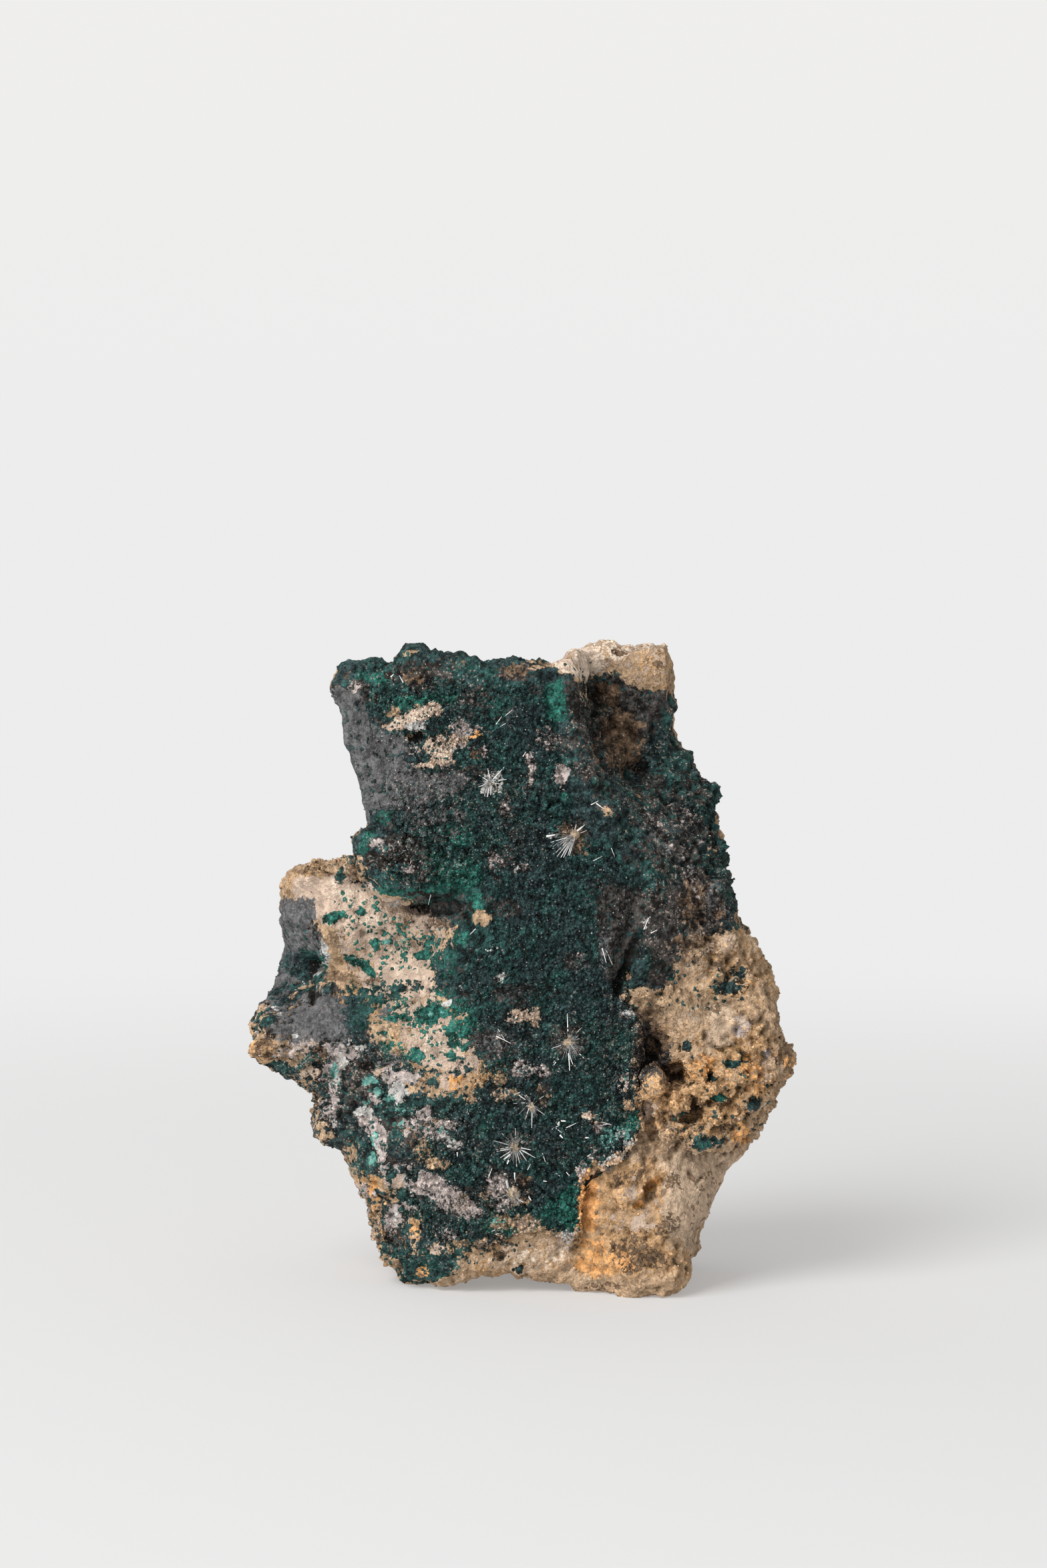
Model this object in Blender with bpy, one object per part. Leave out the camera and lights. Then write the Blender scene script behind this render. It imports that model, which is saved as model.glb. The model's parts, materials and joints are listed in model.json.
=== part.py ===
"""Malachite with hemimorphite, a small-cabinet mineral specimen that stands upright.

A block of tan, iron-stained gossan carries a crust of dark green malachite over its front face, and
small sprays of hemimorphite needles sit on the crust. Metres, +Z up, the front faces -Y, and the
origin is at the bottom centre of the whole specimen. Shapes are first written in millimetres, with
depth measured from a plane through the middle of the front face, towards the viewer.
"""

import math

import bmesh
import bpy
from mathutils import Matrix, Vector, noise
from mathutils.bvhtree import BVHTree

MM = 0.001

# Driving dimensions, in millimetres
HEIGHT = 90.0
BLOCK_VOXEL = 0.9
ROCK_TRIANGLES = 6300
CRUST_GAP = 0.3
CRUST_THICKNESS = 1.5
SPRAY_GAP = 0.3
FOOT_DEPTH = 0.7

# The specimen's outline seen from the front, clockwise from the upper left corner: (x, height)
OUTLINE = (
    (-25.8, 86.2), (-24.5, 87.3), (-22.8, 87.7), (-21.0, 87.2), (-18.7, 86.7), (-17.5, 87.7),
    (-16.3, 88.7), (-14.8, 89.2), (-13.1, 88.5), (-10.3, 88.4), (-7.8, 88.1), (-6.2, 86.9),
    (-3.7, 87.7), (-1.1, 88.0), (2.6, 87.7), (4.1, 87.0), (5.4, 88.2), (6.7, 89.1),
    (8.6, 89.6), (11.8, 90.0), (14.6, 89.4), (17.2, 90.0), (20.4, 90.0), (20.6, 88.0),
    (20.2, 84.6), (20.7, 82.7), (21.5, 80.1), (20.8, 78.3), (21.8, 77.3), (22.2, 74.9),
    (23.9, 74.3), (25.0, 71.7), (26.9, 70.2), (27.7, 68.4), (27.2, 67.2), (27.8, 63.5),
    (28.9, 59.8), (27.9, 56.6), (28.7, 54.5), (30.1, 51.7), (31.2, 49.1), (33.2, 46.2),
    (34.7, 43.4), (35.4, 40.8), (35.3, 37.5), (35.8, 34.0), (36.4, 31.0), (35.8, 28.3),
    (34.3, 27.3), (34.7, 25.2), (33.6, 23.3), (32.8, 21.0), (30.9, 18.5), (28.8, 16.3),
    (26.6, 13.5), (25.3, 11.6), (24.3, 7.4), (23.9, 5.2), (23.3, 2.6), (21.3, 0.8),
    (18.1, 0.0), (16.3, 0.7), (14.6, 0.8), (12.3, 0.0), (9.4, 0.0), (7.8, 0.6),
    (4.4, 1.0), (0.3, 1.9), (-3.4, 2.5), (-5.5, 2.3), (-9.1, 2.3), (-11.3, 0.9),
    (-14.0, 0.0), (-17.2, 0.0), (-19.7, 1.4), (-20.2, 4.8), (-22.0, 6.9), (-22.0, 10.2),
    (-23.5, 12.8), (-24.8, 15.0), (-25.2, 18.2), (-26.6, 19.5), (-28.2, 20.1), (-30.2, 21.4),
    (-29.2, 24.4), (-29.8, 26.6), (-32.9, 28.7), (-34.6, 30.1), (-37.4, 31.3), (-38.7, 33.0),
    (-38.4, 36.8), (-37.3, 39.9), (-34.8, 41.9), (-34.9, 45.1), (-34.2, 50.1), (-34.6, 54.3),
    (-34.0, 57.3), (-30.5, 58.6), (-29.1, 59.6), (-26.9, 59.2), (-25.0, 60.1), (-22.8, 60.0),
    (-22.6, 62.0), (-20.9, 64.0), (-21.6, 65.8), (-22.8, 67.6), (-22.4, 69.4), (-22.7, 71.5),
    (-23.1, 74.1), (-24.6, 77.0), (-25.1, 78.8), (-25.1, 81.1), (-25.8, 83.8),
)

# The malachite crust's outline seen from the front, clockwise from the upper left: (x, height)
CRUST_OUTLINE = (
    (-24.9, 85.6), (-23.4, 86.9), (-18.4, 86.0), (-15.0, 88.3), (-8.0, 87.2), (-6.2, 86.1), (-1.0, 87.1),
    (4.6, 86.4), (6.6, 79.5),
    (7.6, 72.0), (9.0, 66.8), (12.6, 64.6), (15.6, 60.5), (17.4, 55.5), (17.0, 50.8), (14.6, 45.6),
    (13.4, 41.2), (15.6, 39.0), (16.3, 35.8), (16.0, 32.4), (15.3, 30.2), (15.7, 27.3), (16.2, 23.9),
    (15.1, 21.4), (12.4, 18.3), (9.9, 17.9), (8.1, 15.8), (7.7, 10.9), (7.8, 8.7), (6.6, 7.6),
    (1.7, 9.1), (-2.0, 8.5), (-5.6, 6.3), (-9.6, 3.9), (-13.4, 4.2), (-16.2, 6.6), (-17.4, 11.0),
    (-19.0, 15.0), (-18.6, 20.2), (-15.6, 24.2), (-10.8, 28.0), (-8.6, 33.2), (-10.6, 38.2),
    (-12.6, 43.4), (-9.0, 48.0), (-6.4, 51.6), (-8.0, 55.0), (-15.0, 54.9), (-20.4, 56.3),
    (-22.0, 60.0), (-20.4, 64.2), (-21.6, 68.6), (-22.2, 74.0), (-24.2, 78.6), (-24.4, 81.5),
)

# The ridge between the front face and the right flank, from top to bottom: (x, height)
RIDGE = ((5.6, 92.0), (6.2, 85.0), (8.6, 67.5), (12.4, 55.5), (13.2, 47.0), (13.4, 40.0), (14.5, 34.0))

# Grown lumps that swell out of the block: (x, depth, height, radius across, radius in depth, radius up)
LOBE = (
    (-20.4, -2.6, 60.4, 2.4, 3.2, 3.6), (-18.4, -2.6, 59.6, 3.6, 4.4, 4.0),
    (-14.8, -2.4, 58.8, 3.8, 4.6, 3.8), (-11.2, -2.8, 58.8, 3.6, 4.4, 3.6),
    (-8.2, -3.2, 58.2, 3.2, 4.0, 3.2),
)
NODULES = (
    (17.9, 1.2, 29.5, 1.9, 2.4, 1.8), (19.9, 1.6, 26.4, 2.3, 2.2, 1.9), (23.9, 1.7, 28.6, 2.6, 2.8, 2.0),
    (27.2, 0.8, 29.2, 2.8, 3.0, 2.3), (29.8, -0.6, 27.0, 2.6, 3.0, 2.6), (25.7, 1.6, 24.7, 2.5, 2.6, 2.0),
    (29.3, -0.2, 23.6, 2.3, 2.6, 2.0), (24.7, 1.0, 31.9, 1.9, 2.0, 1.5), (31.4, -2.0, 30.6, 2.4, 3.0, 2.2),
    (28.3, 0.2, 32.3, 1.8, 2.2, 1.6), (20.0, 2.0, 22.2, 1.7, 1.8, 1.5), (23.8, 2.0, 21.8, 1.8, 2.0, 1.4),
    (27.8, 0.2, 20.7, 2.0, 1.8, 1.4), (33.0, -4.5, 32.3, 2.3, 2.6, 2.2), (35.9, -6.5, 31.0, 1.9, 2.4, 2.4),
    (32.4, -4.0, 25.8, 1.9, 3.0, 1.9), (14.9, -0.4, 41.0, 1.6, 1.4, 1.2),
)
CAP_LUMPS = (
    (8.4, -21.5, 86.6, 3.2, 4.0, 2.9), (12.4, -21.0, 86.4, 3.4, 4.6, 3.3),
    (17.0, -21.5, 86.2, 3.2, 4.6, 3.4),
)

# Local swells (positive) and pits (negative) of the front face: (x, height, radius across, radius up, depth)
RELIEF = (
    (-15.2, 53.6, 3.2, 1.8, -2.2),
    (-32.0, 44.6, 2.2, 1.8, -1.6),
    (-14.8, 77.2, 1.2, 1.0, -1.6),
    (-24.5, 53.0, 6.0, 6.0, 0.9),
    (-28.0, 37.0, 5.0, 4.0, 1.0),
    (18.4, 34.0, 2.2, 3.4, -3.4),
    (21.0, 30.0, 1.7, 1.7, -3.4),
    (22.2, 24.2, 2.2, 1.4, -2.6),
    (26.5, 36.0, 7.0, 5.0, 1.4),
    (13.6, 47.5, 0.9, 4.5, -2.6),
    (12.8, 42.8, 1.2, 2.4, -2.8),
    (17.0, 14.6, 2.0, 2.6, -1.8),
    (12.6, 14.2, 1.8, 2.2, 0.8),
    (11.2, 67.2, 1.3, 1.2, 1.2),
    (0.0, 45.0, 9.0, 16.0, 0.7),
    (-2.0, 20.0, 8.0, 9.0, 0.8),
    (-14.0, 24.0, 5.0, 5.0, -0.7),
    (-17.0, 12.0, 4.0, 5.0, -0.5),
    (22.0, 47.0, 5.0, 7.0, 0.8),
    (14.5, 77.0, 3.6, 6.0, 1.8),
    (20.5, 66.0, 3.0, 4.0, 1.6),
)

# Feet that the specimen stands on: (x, depth, radius across, radius in depth)
FEET = ((-15.0, -8.5, 3.8, 5.0), (12.5, 1.5, 7.0, 6.0), (3.0, -22.5, 8.0, 6.0))

# Sprays of hemimorphite on the crust: (x, height, radius, stretch up, needles' lean, seed)
SPRAYS = (
    (-4.8, 70.6, 1.9, 1.0, 0.55, 11),
    (6.4, 62.4, 2.6, 1.0, 0.40, 23),
    (6.4, 35.0, 2.8, 1.1, 0.30, 37),
    (-0.9, 20.2, 3.0, 1.0, 0.35, 41),
    (-1.0, 13.9, 1.8, 1.0, 0.60, 53),
    (1.1, 25.6, 1.9, 1.0, 0.30, 67),
)


def clear_scene():
    for thing in list(bpy.data.objects):
        bpy.data.objects.remove(thing)


def smooth(value, start, end):
    """0 before start, 1 after end, and an easy curve between."""
    t = min(max((value - start) / (end - start), 0.0), 1.0)
    return t * t * (3.0 - 2.0 * t)


def mix(a, b, weight):
    return a + (b - a) * weight


def line_x(line, height):
    """The x of a line that runs from top to bottom, at a height."""
    if height >= line[0][1]:
        return line[0][0]
    for (x0, z0), (x1, z1) in zip(line, line[1:]):
        if height >= z1:
            return mix(x1, x0, (height - z1) / (z0 - z1))
    return line[-1][0]


def front_depth(x, z):
    """How far the front face stands towards the viewer."""
    beside = x - line_x(RIDGE, z)
    face = 0.9 - 0.02 * (z - 45.0)
    face -= 0.12 * max(0.0, -8.0 - x) * smooth(z, 56.0, 64.0)

    # The lower left field lies behind the lobe, and its edge turns away to the left
    field = smooth(-x, 8.0, 15.0) * smooth(z, 34.0, 50.0) * (1.0 - smooth(z, 57.0, 60.0))
    face -= 5.2 * field
    lower_left = smooth(-x, 14.0, 30.0) * (1.0 - smooth(z, 40.0, 52.0))
    face -= 5.0 * lower_left
    face -= 0.95 * max(0.0, -27.5 - x) * smooth(z, 37.0, 43.0) * (1.0 - smooth(z, 55.0, 60.0))
    face -= 3.2 * smooth(-x, 6.0, 15.0) * (1.0 - smooth(z, 10.0, 26.0))

    # The right flank: a deep recess above the diagonal shoulder, and a face that turns away below it
    above_shoulder = (x + z - 82.0) / math.sqrt(2.0)
    flank = smooth(beside, -0.3, 3.2)
    recess = -16.5 + 2.5 * smooth(x, 12.0, 22.0) + 3.5 * (1.0 - smooth(z, 62.0, 74.0))
    shoulder = 0.2 - 0.27 * beside
    lower_flank = 0.4 - 0.06 * beside
    shoulder = mix(lower_flank, shoulder, smooth(z, 36.0, 46.0))
    right = mix(shoulder, recess, smooth(above_shoulder, -1.5, 5.5))
    face = mix(face, right, flank)

    # The lower right corner comes forward, with an edge between its front and its right face
    corner = 6.2 * (1.0 - smooth(z, 9.0, 27.0))
    toward_edge = smooth(x, 7.0, 20.0)
    face += corner * toward_edge
    face -= 0.85 * max(0.0, x - 20.2) * (1.0 - smooth(z, 19.0, 27.0))

    for px, pz, wide, tall, lift in RELIEF:
        near = ((x - px) / wide) ** 2 + ((z - pz) / tall) ** 2
        if near < 6.0:
            face += lift * math.exp(-near)
    return face


def back_depth(x, z):
    """Where the broken back lies: the nearest of a few cleavage planes."""
    wavy = 1.6 * noise.noise(Vector((x, z, 7.0)) / 13.0)
    planes = (
        -31.5 + 0.05 * x,
        -47.0 + 0.28 * z - 0.40 * x,
        -34.0 - 0.62 * (x + 14.0),
        -30.0 + 0.70 * (x - 20.0),
        -38.0 + 0.45 * (30.0 - z),
    )
    return max(planes) + wavy


def outline_bottom(x):
    """The height of the outline's lower side at an x."""
    lowest = HEIGHT
    for (x0, z0), (x1, z1) in zip(OUTLINE, OUTLINE[1:] + OUTLINE[:1]):
        if x0 != x1 and min(x0, x1) <= x <= max(x0, x1):
            lowest = min(lowest, mix(z0, z1, (x - x0) / (x1 - x0)))
    return min(lowest, 30.0)


def underside(x, depth, z):
    """Lifts or lowers the lowest part of the block, so that it stands on three feet."""
    bottom = outline_bottom(min(max(x, -37.5), 35.5))
    foot = 0.0
    for foot_x, foot_depth, wide, deep in FEET:
        foot += math.exp(-(((x - foot_x) / wide) ** 2 + ((depth - foot_depth) / deep) ** 2))
    arch = mix(bottom, max(bottom, 2.8), smooth(-depth, 1.0, 6.0))
    target = mix(arch, -FOOT_DEPTH, smooth(foot, 0.30, 0.62))
    return z + (target - bottom) * (1.0 - smooth(z, bottom, bottom + 10.0))


def distance_to_outline(x, z):
    here = Vector((x, z))
    nearest = 1000.0
    for a, b in zip(OUTLINE, OUTLINE[1:] + OUTLINE[:1]):
        start = Vector(a)
        along = Vector(b) - start
        t = min(max((here - start).dot(along) / along.length_squared, 0.0), 1.0)
        nearest = min(nearest, (start + along * t - here).length)
    return nearest


def rounding(distance, radius):
    """How far a face falls back towards an edge of this radius."""
    if distance >= radius:
        return 0.0
    return radius - math.sqrt(radius ** 2 - (radius - distance) ** 2)


def prism(outline, near, far):
    """A closed prism over an outline, from depth near to depth far."""
    bm = bmesh.new()
    verts = [bm.verts.new((x, -near, z)) for x, z in outline]
    face = bm.faces.new(verts)
    swept = bmesh.ops.extrude_face_region(bm, geom=[face])
    moved = [item for item in swept["geom"] if isinstance(item, bmesh.types.BMVert)]
    bmesh.ops.translate(bm, verts=moved, vec=(0.0, near - far, 0.0))
    bmesh.ops.recalc_face_normals(bm, faces=bm.faces)
    mesh = bpy.data.meshes.new("prism")
    bm.to_mesh(mesh)
    bm.free()
    return mesh


def with_modifiers(mesh, *settings):
    """A new mesh: this one, after modifiers given as (kind, {name: value})."""
    thing = bpy.data.objects.new("work", mesh)
    bpy.context.scene.collection.objects.link(thing)
    for kind, values in settings:
        modifier = thing.modifiers.new(kind.lower(), kind)
        for name, value in values.items():
            setattr(modifier, name, value)
    shaped = bpy.data.meshes.new_from_object(thing.evaluated_get(bpy.context.evaluated_depsgraph_get()))
    bpy.data.objects.remove(thing)
    return shaped


def cut(mesh, other, operation, solver="EXACT"):
    """The union, difference or intersection of two closed meshes."""
    tool = bpy.data.objects.new("tool", other)
    bpy.context.scene.collection.objects.link(tool)
    result = with_modifiers(mesh, ("BOOLEAN", {"object": tool, "operation": operation, "solver": solver}))
    bpy.data.objects.remove(tool)
    return result


def shape_block(mesh):
    """Moves the prism's faces to the front face, the broken back and the rounded edges."""
    for vertex in mesh.vertices:
        x = vertex.co.x
        z = vertex.co.z
        behind = vertex.co.y / HEIGHT
        edge = distance_to_outline(x, z)
        rough = noise.noise(Vector((x, z, 3.0)) / 9.0)
        near = front_depth(x, z) - rounding(edge, 2.6 + 1.2 * rough)
        far = back_depth(x, z) + rounding(edge, mix(4.5, 9.0 + 3.0 * rough, smooth(z, 5.0, 18.0)))
        far = min(far, near - 6.0)
        depth = mix(near, far, behind)
        vertex.co = (x, -depth, z)


def add_lumps(mesh, lumps):
    bm = bmesh.new()
    bm.from_mesh(mesh)
    for x, depth, z, wide, deep, tall in lumps:
        place = Matrix.Translation((x, -depth, z)) @ Matrix.Diagonal((wide, deep, tall, 1.0))
        bmesh.ops.create_icosphere(bm, subdivisions=3, radius=1.0, matrix=place)
    bm.to_mesh(mesh)
    bm.free()


def roughen(mesh):
    """Broken rock: lumps, small ledges and pits, strongest on the tan right side and on the back."""
    normals = [vertex.normal.copy() for vertex in mesh.vertices]
    for vertex, normal in zip(mesh.vertices, normals):
        place = vertex.co.copy()
        lumps = noise.fractal(place / 7.0, 0.9, 2.1, 3)
        ledges = noise.ridged_multi_fractal(place / 11.0 + Vector((3.0, 9.0, 1.0)), 0.9, 2.2, 3, 1.0, 1.8)
        front = 1.0 - smooth(place.y, 2.0, 10.0)
        on_crust = front * (1.0 - smooth(place.x, 11.0, 17.0)) * smooth(place.x, -13.0, -6.0)
        strength = mix(1.0, 0.45, on_crust)
        shift = strength * (0.75 * lumps - 0.45 * (ledges - 1.2))
        vertex.co = place + normal * min(max(shift, -1.6), 1.3)


def stand(mesh):
    """Shapes the underside into three feet and cuts them flat."""
    for vertex in mesh.vertices:
        vertex.co.z = underside(vertex.co.x, -vertex.co.y, vertex.co.z)


def cut_flat(mesh):
    bm = bmesh.new()
    bm.from_mesh(mesh)
    everything = bm.verts[:] + bm.edges[:] + bm.faces[:]
    bmesh.ops.bisect_plane(
        bm, geom=everything, dist=1e-5, plane_co=(0, 0, 0), plane_no=(0, 0, -1), clear_outer=True
    )
    bmesh.ops.holes_fill(bm, edges=[edge for edge in bm.edges if edge.is_boundary])
    bmesh.ops.recalc_face_normals(bm, faces=bm.faces)
    bm.to_mesh(mesh)
    bm.free()


def largest_body(mesh):
    """Keeps the largest connected body of a mesh, and drops crumbs."""
    bm = bmesh.new()
    bm.from_mesh(mesh)
    unseen = set(bm.verts)
    bodies = []
    while unseen:
        first = unseen.pop()
        body = [first]
        queue = [first]
        while queue:
            for edge in queue.pop().link_edges:
                for vertex in edge.verts:
                    if vertex in unseen:
                        unseen.remove(vertex)
                        body.append(vertex)
                        queue.append(vertex)
        bodies.append(body)
    bodies.sort(key=len)
    for body in bodies[:-1]:
        bmesh.ops.delete(bm, geom=body, context="VERTS")
    bm.to_mesh(mesh)
    bm.free()


def fattened(mesh, amount):
    """A copy with its surface moved outwards."""
    grown = mesh.copy()
    normals = [vertex.normal.copy() for vertex in mesh.vertices]
    for vertex, normal in zip(grown.vertices, normals):
        vertex.co += normal * amount
    return grown


def matrix_rock():
    mesh = prism(OUTLINE, 0.0, -HEIGHT)
    mesh = with_modifiers(mesh, ("REMESH", {"mode": "VOXEL", "voxel_size": BLOCK_VOXEL}))
    shape_block(mesh)
    add_lumps(mesh, LOBE + NODULES + CAP_LUMPS)
    mesh = with_modifiers(mesh, ("REMESH", {"mode": "VOXEL", "voxel_size": BLOCK_VOXEL}))
    mesh = with_modifiers(mesh, ("SMOOTH", {"factor": 0.5, "iterations": 3}))
    roughen(mesh)
    stand(mesh)
    largest_body(mesh)
    triangles = sum(len(polygon.vertices) - 2 for polygon in mesh.polygons)
    mesh = with_modifiers(mesh, ("DECIMATE", {"ratio": ROCK_TRIANGLES / triangles}))
    cut_flat(mesh)
    return mesh


def malachite_crust(rock):
    """The sheet that lies on the rock, between its lower face just off the rock and its outer face."""
    lower = fattened(rock, CRUST_GAP)
    outer = fattened(rock, CRUST_GAP + CRUST_THICKNESS)
    sheet = cut(outer, prism(CRUST_OUTLINE, 30.0, -7.0), "INTERSECT", "MANIFOLD")
    sheet = cut(sheet, lower, "DIFFERENCE", "MANIFOLD")
    largest_body(sheet)
    return sheet


def spray(surface, x, z, radius, stretch, lean, seed):
    """Needles that radiate from one point of the crust, grown together on a small core."""
    hit, normal, _, _ = surface.ray_cast(Vector((x, -60.0, z)), Vector((0.0, 1.0, 0.0)))
    noise.seed_set(seed)
    bm = bmesh.new()
    bmesh.ops.create_icosphere(bm, subdivisions=2, radius=1.0)
    bmesh.ops.scale(bm, verts=bm.verts, vec=(0.42, 0.42, 0.30))
    for face in bm.faces[:]:
        outward = face.calc_center_median().normalized()
        if outward.z < -0.25:
            continue
        length = noise.random() * 0.45 + 0.30
        low = max(0.0, 1.0 - abs(outward.z))
        length *= mix(lean, 1.0, low)
        bmesh.ops.poke(bm, faces=[face], offset=length, center_mode="MEAN")
    bmesh.ops.scale(bm, verts=bm.verts, vec=(radius, radius * stretch, radius))
    lowest = min(vertex.co.z for vertex in bm.verts)
    out = Vector(normal)
    if out.y > 0.0:
        out.negate()
    turn = out.to_track_quat("Z", "Y").to_matrix().to_4x4()
    place = Matrix.Translation(hit + out * (SPRAY_GAP - lowest)) @ turn
    bmesh.ops.transform(bm, matrix=place, verts=bm.verts)
    clear_of_crust(bm, surface, out)
    bmesh.ops.triangulate(bm, faces=bm.faces)
    mesh = bpy.data.meshes.new("spray")
    bm.to_mesh(mesh)
    bm.free()
    return mesh


def clear_of_crust(bm, surface, out):
    """Moves a spray along its axis until its lowest point is just off the crust."""
    clearance = []
    for vertex in bm.verts:
        hit = surface.ray_cast(vertex.co + out * 20.0, -out)
        if hit[0] is not None:
            clearance.append(hit[3] - 20.0)
    bmesh.ops.translate(bm, verts=bm.verts, vec=out * (SPRAY_GAP - min(clearance)))


def material(name, color, roughness, alpha=1.0):
    made = bpy.data.materials.new(name)
    made.use_nodes = True
    shader = made.node_tree.nodes["Principled BSDF"]
    shader.inputs["Base Color"].default_value = (*color, 1.0)
    shader.inputs["Roughness"].default_value = roughness
    shader.inputs["Metallic"].default_value = 0.0
    shader.inputs["Alpha"].default_value = alpha
    return made


def place_node(name, mesh, finish, shift):
    """Turns a mesh in millimetres into a named piece in metres."""
    mesh.transform(Matrix.Diagonal((MM, MM, MM, 1.0)) @ Matrix.Translation(shift))
    mesh.name = name
    mesh.materials.clear()
    mesh.materials.append(finish)
    piece = bpy.data.objects.new(name, mesh)
    bpy.context.scene.collection.objects.link(piece)
    return piece


def bounds(meshes):
    points = [vertex.co for mesh in meshes for vertex in mesh.vertices]
    low = Vector(min(point[axis] for point in points) for axis in range(3))
    high = Vector(max(point[axis] for point in points) for axis in range(3))
    return low, high


def main():
    clear_scene()
    rock = matrix_rock()
    crust = malachite_crust(rock)
    bm = bmesh.new()
    bm.from_mesh(crust)
    surface = BVHTree.FromBMesh(bm)
    bm.free()
    sprays = [spray(surface, *values) for values in SPRAYS]

    low, high = bounds([rock, crust] + sprays)
    shift = Vector((-(low.x + high.x) / 2.0, -(low.y + high.y) / 2.0, 0.0))
    stone = material("gossan", (0.42, 0.31, 0.20), 0.9)
    green = material("malachite", (0.012, 0.055, 0.050), 0.75)
    clear = material("hemimorphite", (0.80, 0.78, 0.74), 0.15)
    place_node("matrix_rock", rock, stone, shift)
    place_node("malachite_crust", crust, green, shift)
    for number, mesh in enumerate(sprays, start=1):
        place_node(f"hemimorphite_spray_{number}", mesh, clear, shift)


if __name__ == "__main__":
    main()
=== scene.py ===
"""Looks of the malachite with hemimorphite specimen.

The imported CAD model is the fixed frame. This script gives it its finished surfaces: a finely modelled
skin on the limonite matrix, the granular malachite crust, the hemimorphite needles, loose grains of the
same minerals, and a plain studio stage with the camera at the photograph's angle.
"""

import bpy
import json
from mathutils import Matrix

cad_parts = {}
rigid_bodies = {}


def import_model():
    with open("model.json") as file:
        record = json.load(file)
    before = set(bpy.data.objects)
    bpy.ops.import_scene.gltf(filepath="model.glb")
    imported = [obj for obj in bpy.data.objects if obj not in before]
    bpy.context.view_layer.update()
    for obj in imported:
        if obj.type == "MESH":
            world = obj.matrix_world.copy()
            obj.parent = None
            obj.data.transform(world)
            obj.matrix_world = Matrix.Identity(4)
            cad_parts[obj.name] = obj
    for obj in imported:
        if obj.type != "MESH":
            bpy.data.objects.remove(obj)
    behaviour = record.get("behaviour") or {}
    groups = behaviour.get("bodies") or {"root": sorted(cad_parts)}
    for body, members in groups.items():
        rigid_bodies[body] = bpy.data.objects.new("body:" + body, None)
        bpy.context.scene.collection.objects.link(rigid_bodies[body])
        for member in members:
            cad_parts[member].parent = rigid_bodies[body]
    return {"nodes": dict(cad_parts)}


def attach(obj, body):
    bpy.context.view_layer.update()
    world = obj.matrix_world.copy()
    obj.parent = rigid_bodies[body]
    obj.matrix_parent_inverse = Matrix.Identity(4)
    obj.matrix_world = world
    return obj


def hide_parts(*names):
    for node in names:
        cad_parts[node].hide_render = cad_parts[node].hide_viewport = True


bl_info = {
    "name": "Malachite with Hemimorphite",
    "version": (1, 0, 0),
    "blender": (4, 5, 0),
    "location": "3D View > Sidebar > Specimen",
    "description": "Builds the surfaces, needles and stage of a mineral specimen on its packed model",
    "category": "Add Mesh",
}

import json
import math

import bmesh
import bpy
import numpy as np
from bpy.props import FloatProperty, FloatVectorProperty, IntProperty, PointerProperty
from mathutils import Matrix, Vector, noise
from mathutils.bvhtree import BVHTree
from mathutils.kdtree import KDTree

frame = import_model()

MM = 0.001

# The photograph's frame in pixels, the camera's film and lens in millimetres, and how many pixels of the
# frame a slope of 1 to 1 spans
PHOTO_WIDTH = 1568
PHOTO_HEIGHT = 2349
FILM = 36.0
LENS = 100.0
PHOTO_SCALE = LENS / FILM * PHOTO_HEIGHT

# Where the camera looks, and the specimen's middle, which the camera stands back from, in metres
CAMERA_AIM = Vector((0.0002, -0.0160, 0.0714))
MIDDLE = Vector((0.0, 0.0, 0.0450))

# The front's colours, read from the photograph in its own pixels. The malachite ground is what the
# dark crust covers, and the bare field is the pale ground on the left that it leaves open.
MALACHITE_OUTLINE = (
    (498, 955), (520, 940), (560, 945), (600, 923), (640, 929), (715, 953), (730, 949), (760, 939),
    (800, 949), (826, 1000), (850, 1014), (872, 1024), (893, 1016), (905, 1004), (925, 1010), (940, 1026),
    (975, 1034), (1008, 1030), (1050, 1095), (1070, 1125), (1100, 1170), (1121, 1195), (1130, 1330),
    (1136, 1385), (1106, 1392), (1045, 1404), (1020, 1420), (1005, 1466), (990, 1484), (965, 1482),
    (950, 1484), (936, 1500), (958, 1514), (956, 1545), (948, 1600), (952, 1640), (958, 1680), (954, 1700),
    (942, 1714), (918, 1738), (890, 1742), (868, 1764), (866, 1815), (869, 1844), (850, 1845), (800, 1840),
    (772, 1848), (745, 1858), (712, 1880), (690, 1900), (655, 1918), (600, 1925), (575, 1890), (562, 1850),
    (545, 1812), (530, 1775), (512, 1742), (485, 1715), (465, 1700), (475, 1650), (430, 1622), (395, 1604),
    (440, 1590), (480, 1560), (525, 1545), (515, 1470), (470, 1470), (400, 1510), (400, 1440), (410, 1360),
    (470, 1360), (520, 1330), (500, 1250), (515, 1200), (470, 1080),
)
BARE_FIELD_OUTLINE = (
    (400, 1325), (470, 1280), (540, 1284), (548, 1326), (566, 1338), (612, 1350), (660, 1366), (684, 1386),
    (668, 1412), (652, 1440), (648, 1470), (660, 1500), (688, 1524), (706, 1550), (720, 1590),
    (736, 1622), (700, 1642), (650, 1634), (612, 1640), (590, 1596), (575, 1578),
    (560, 1560), (548, 1530), (540, 1500), (530, 1478), (500, 1462), (492, 1430), (470, 1392),
    (440, 1372), (412, 1356),
)

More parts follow.
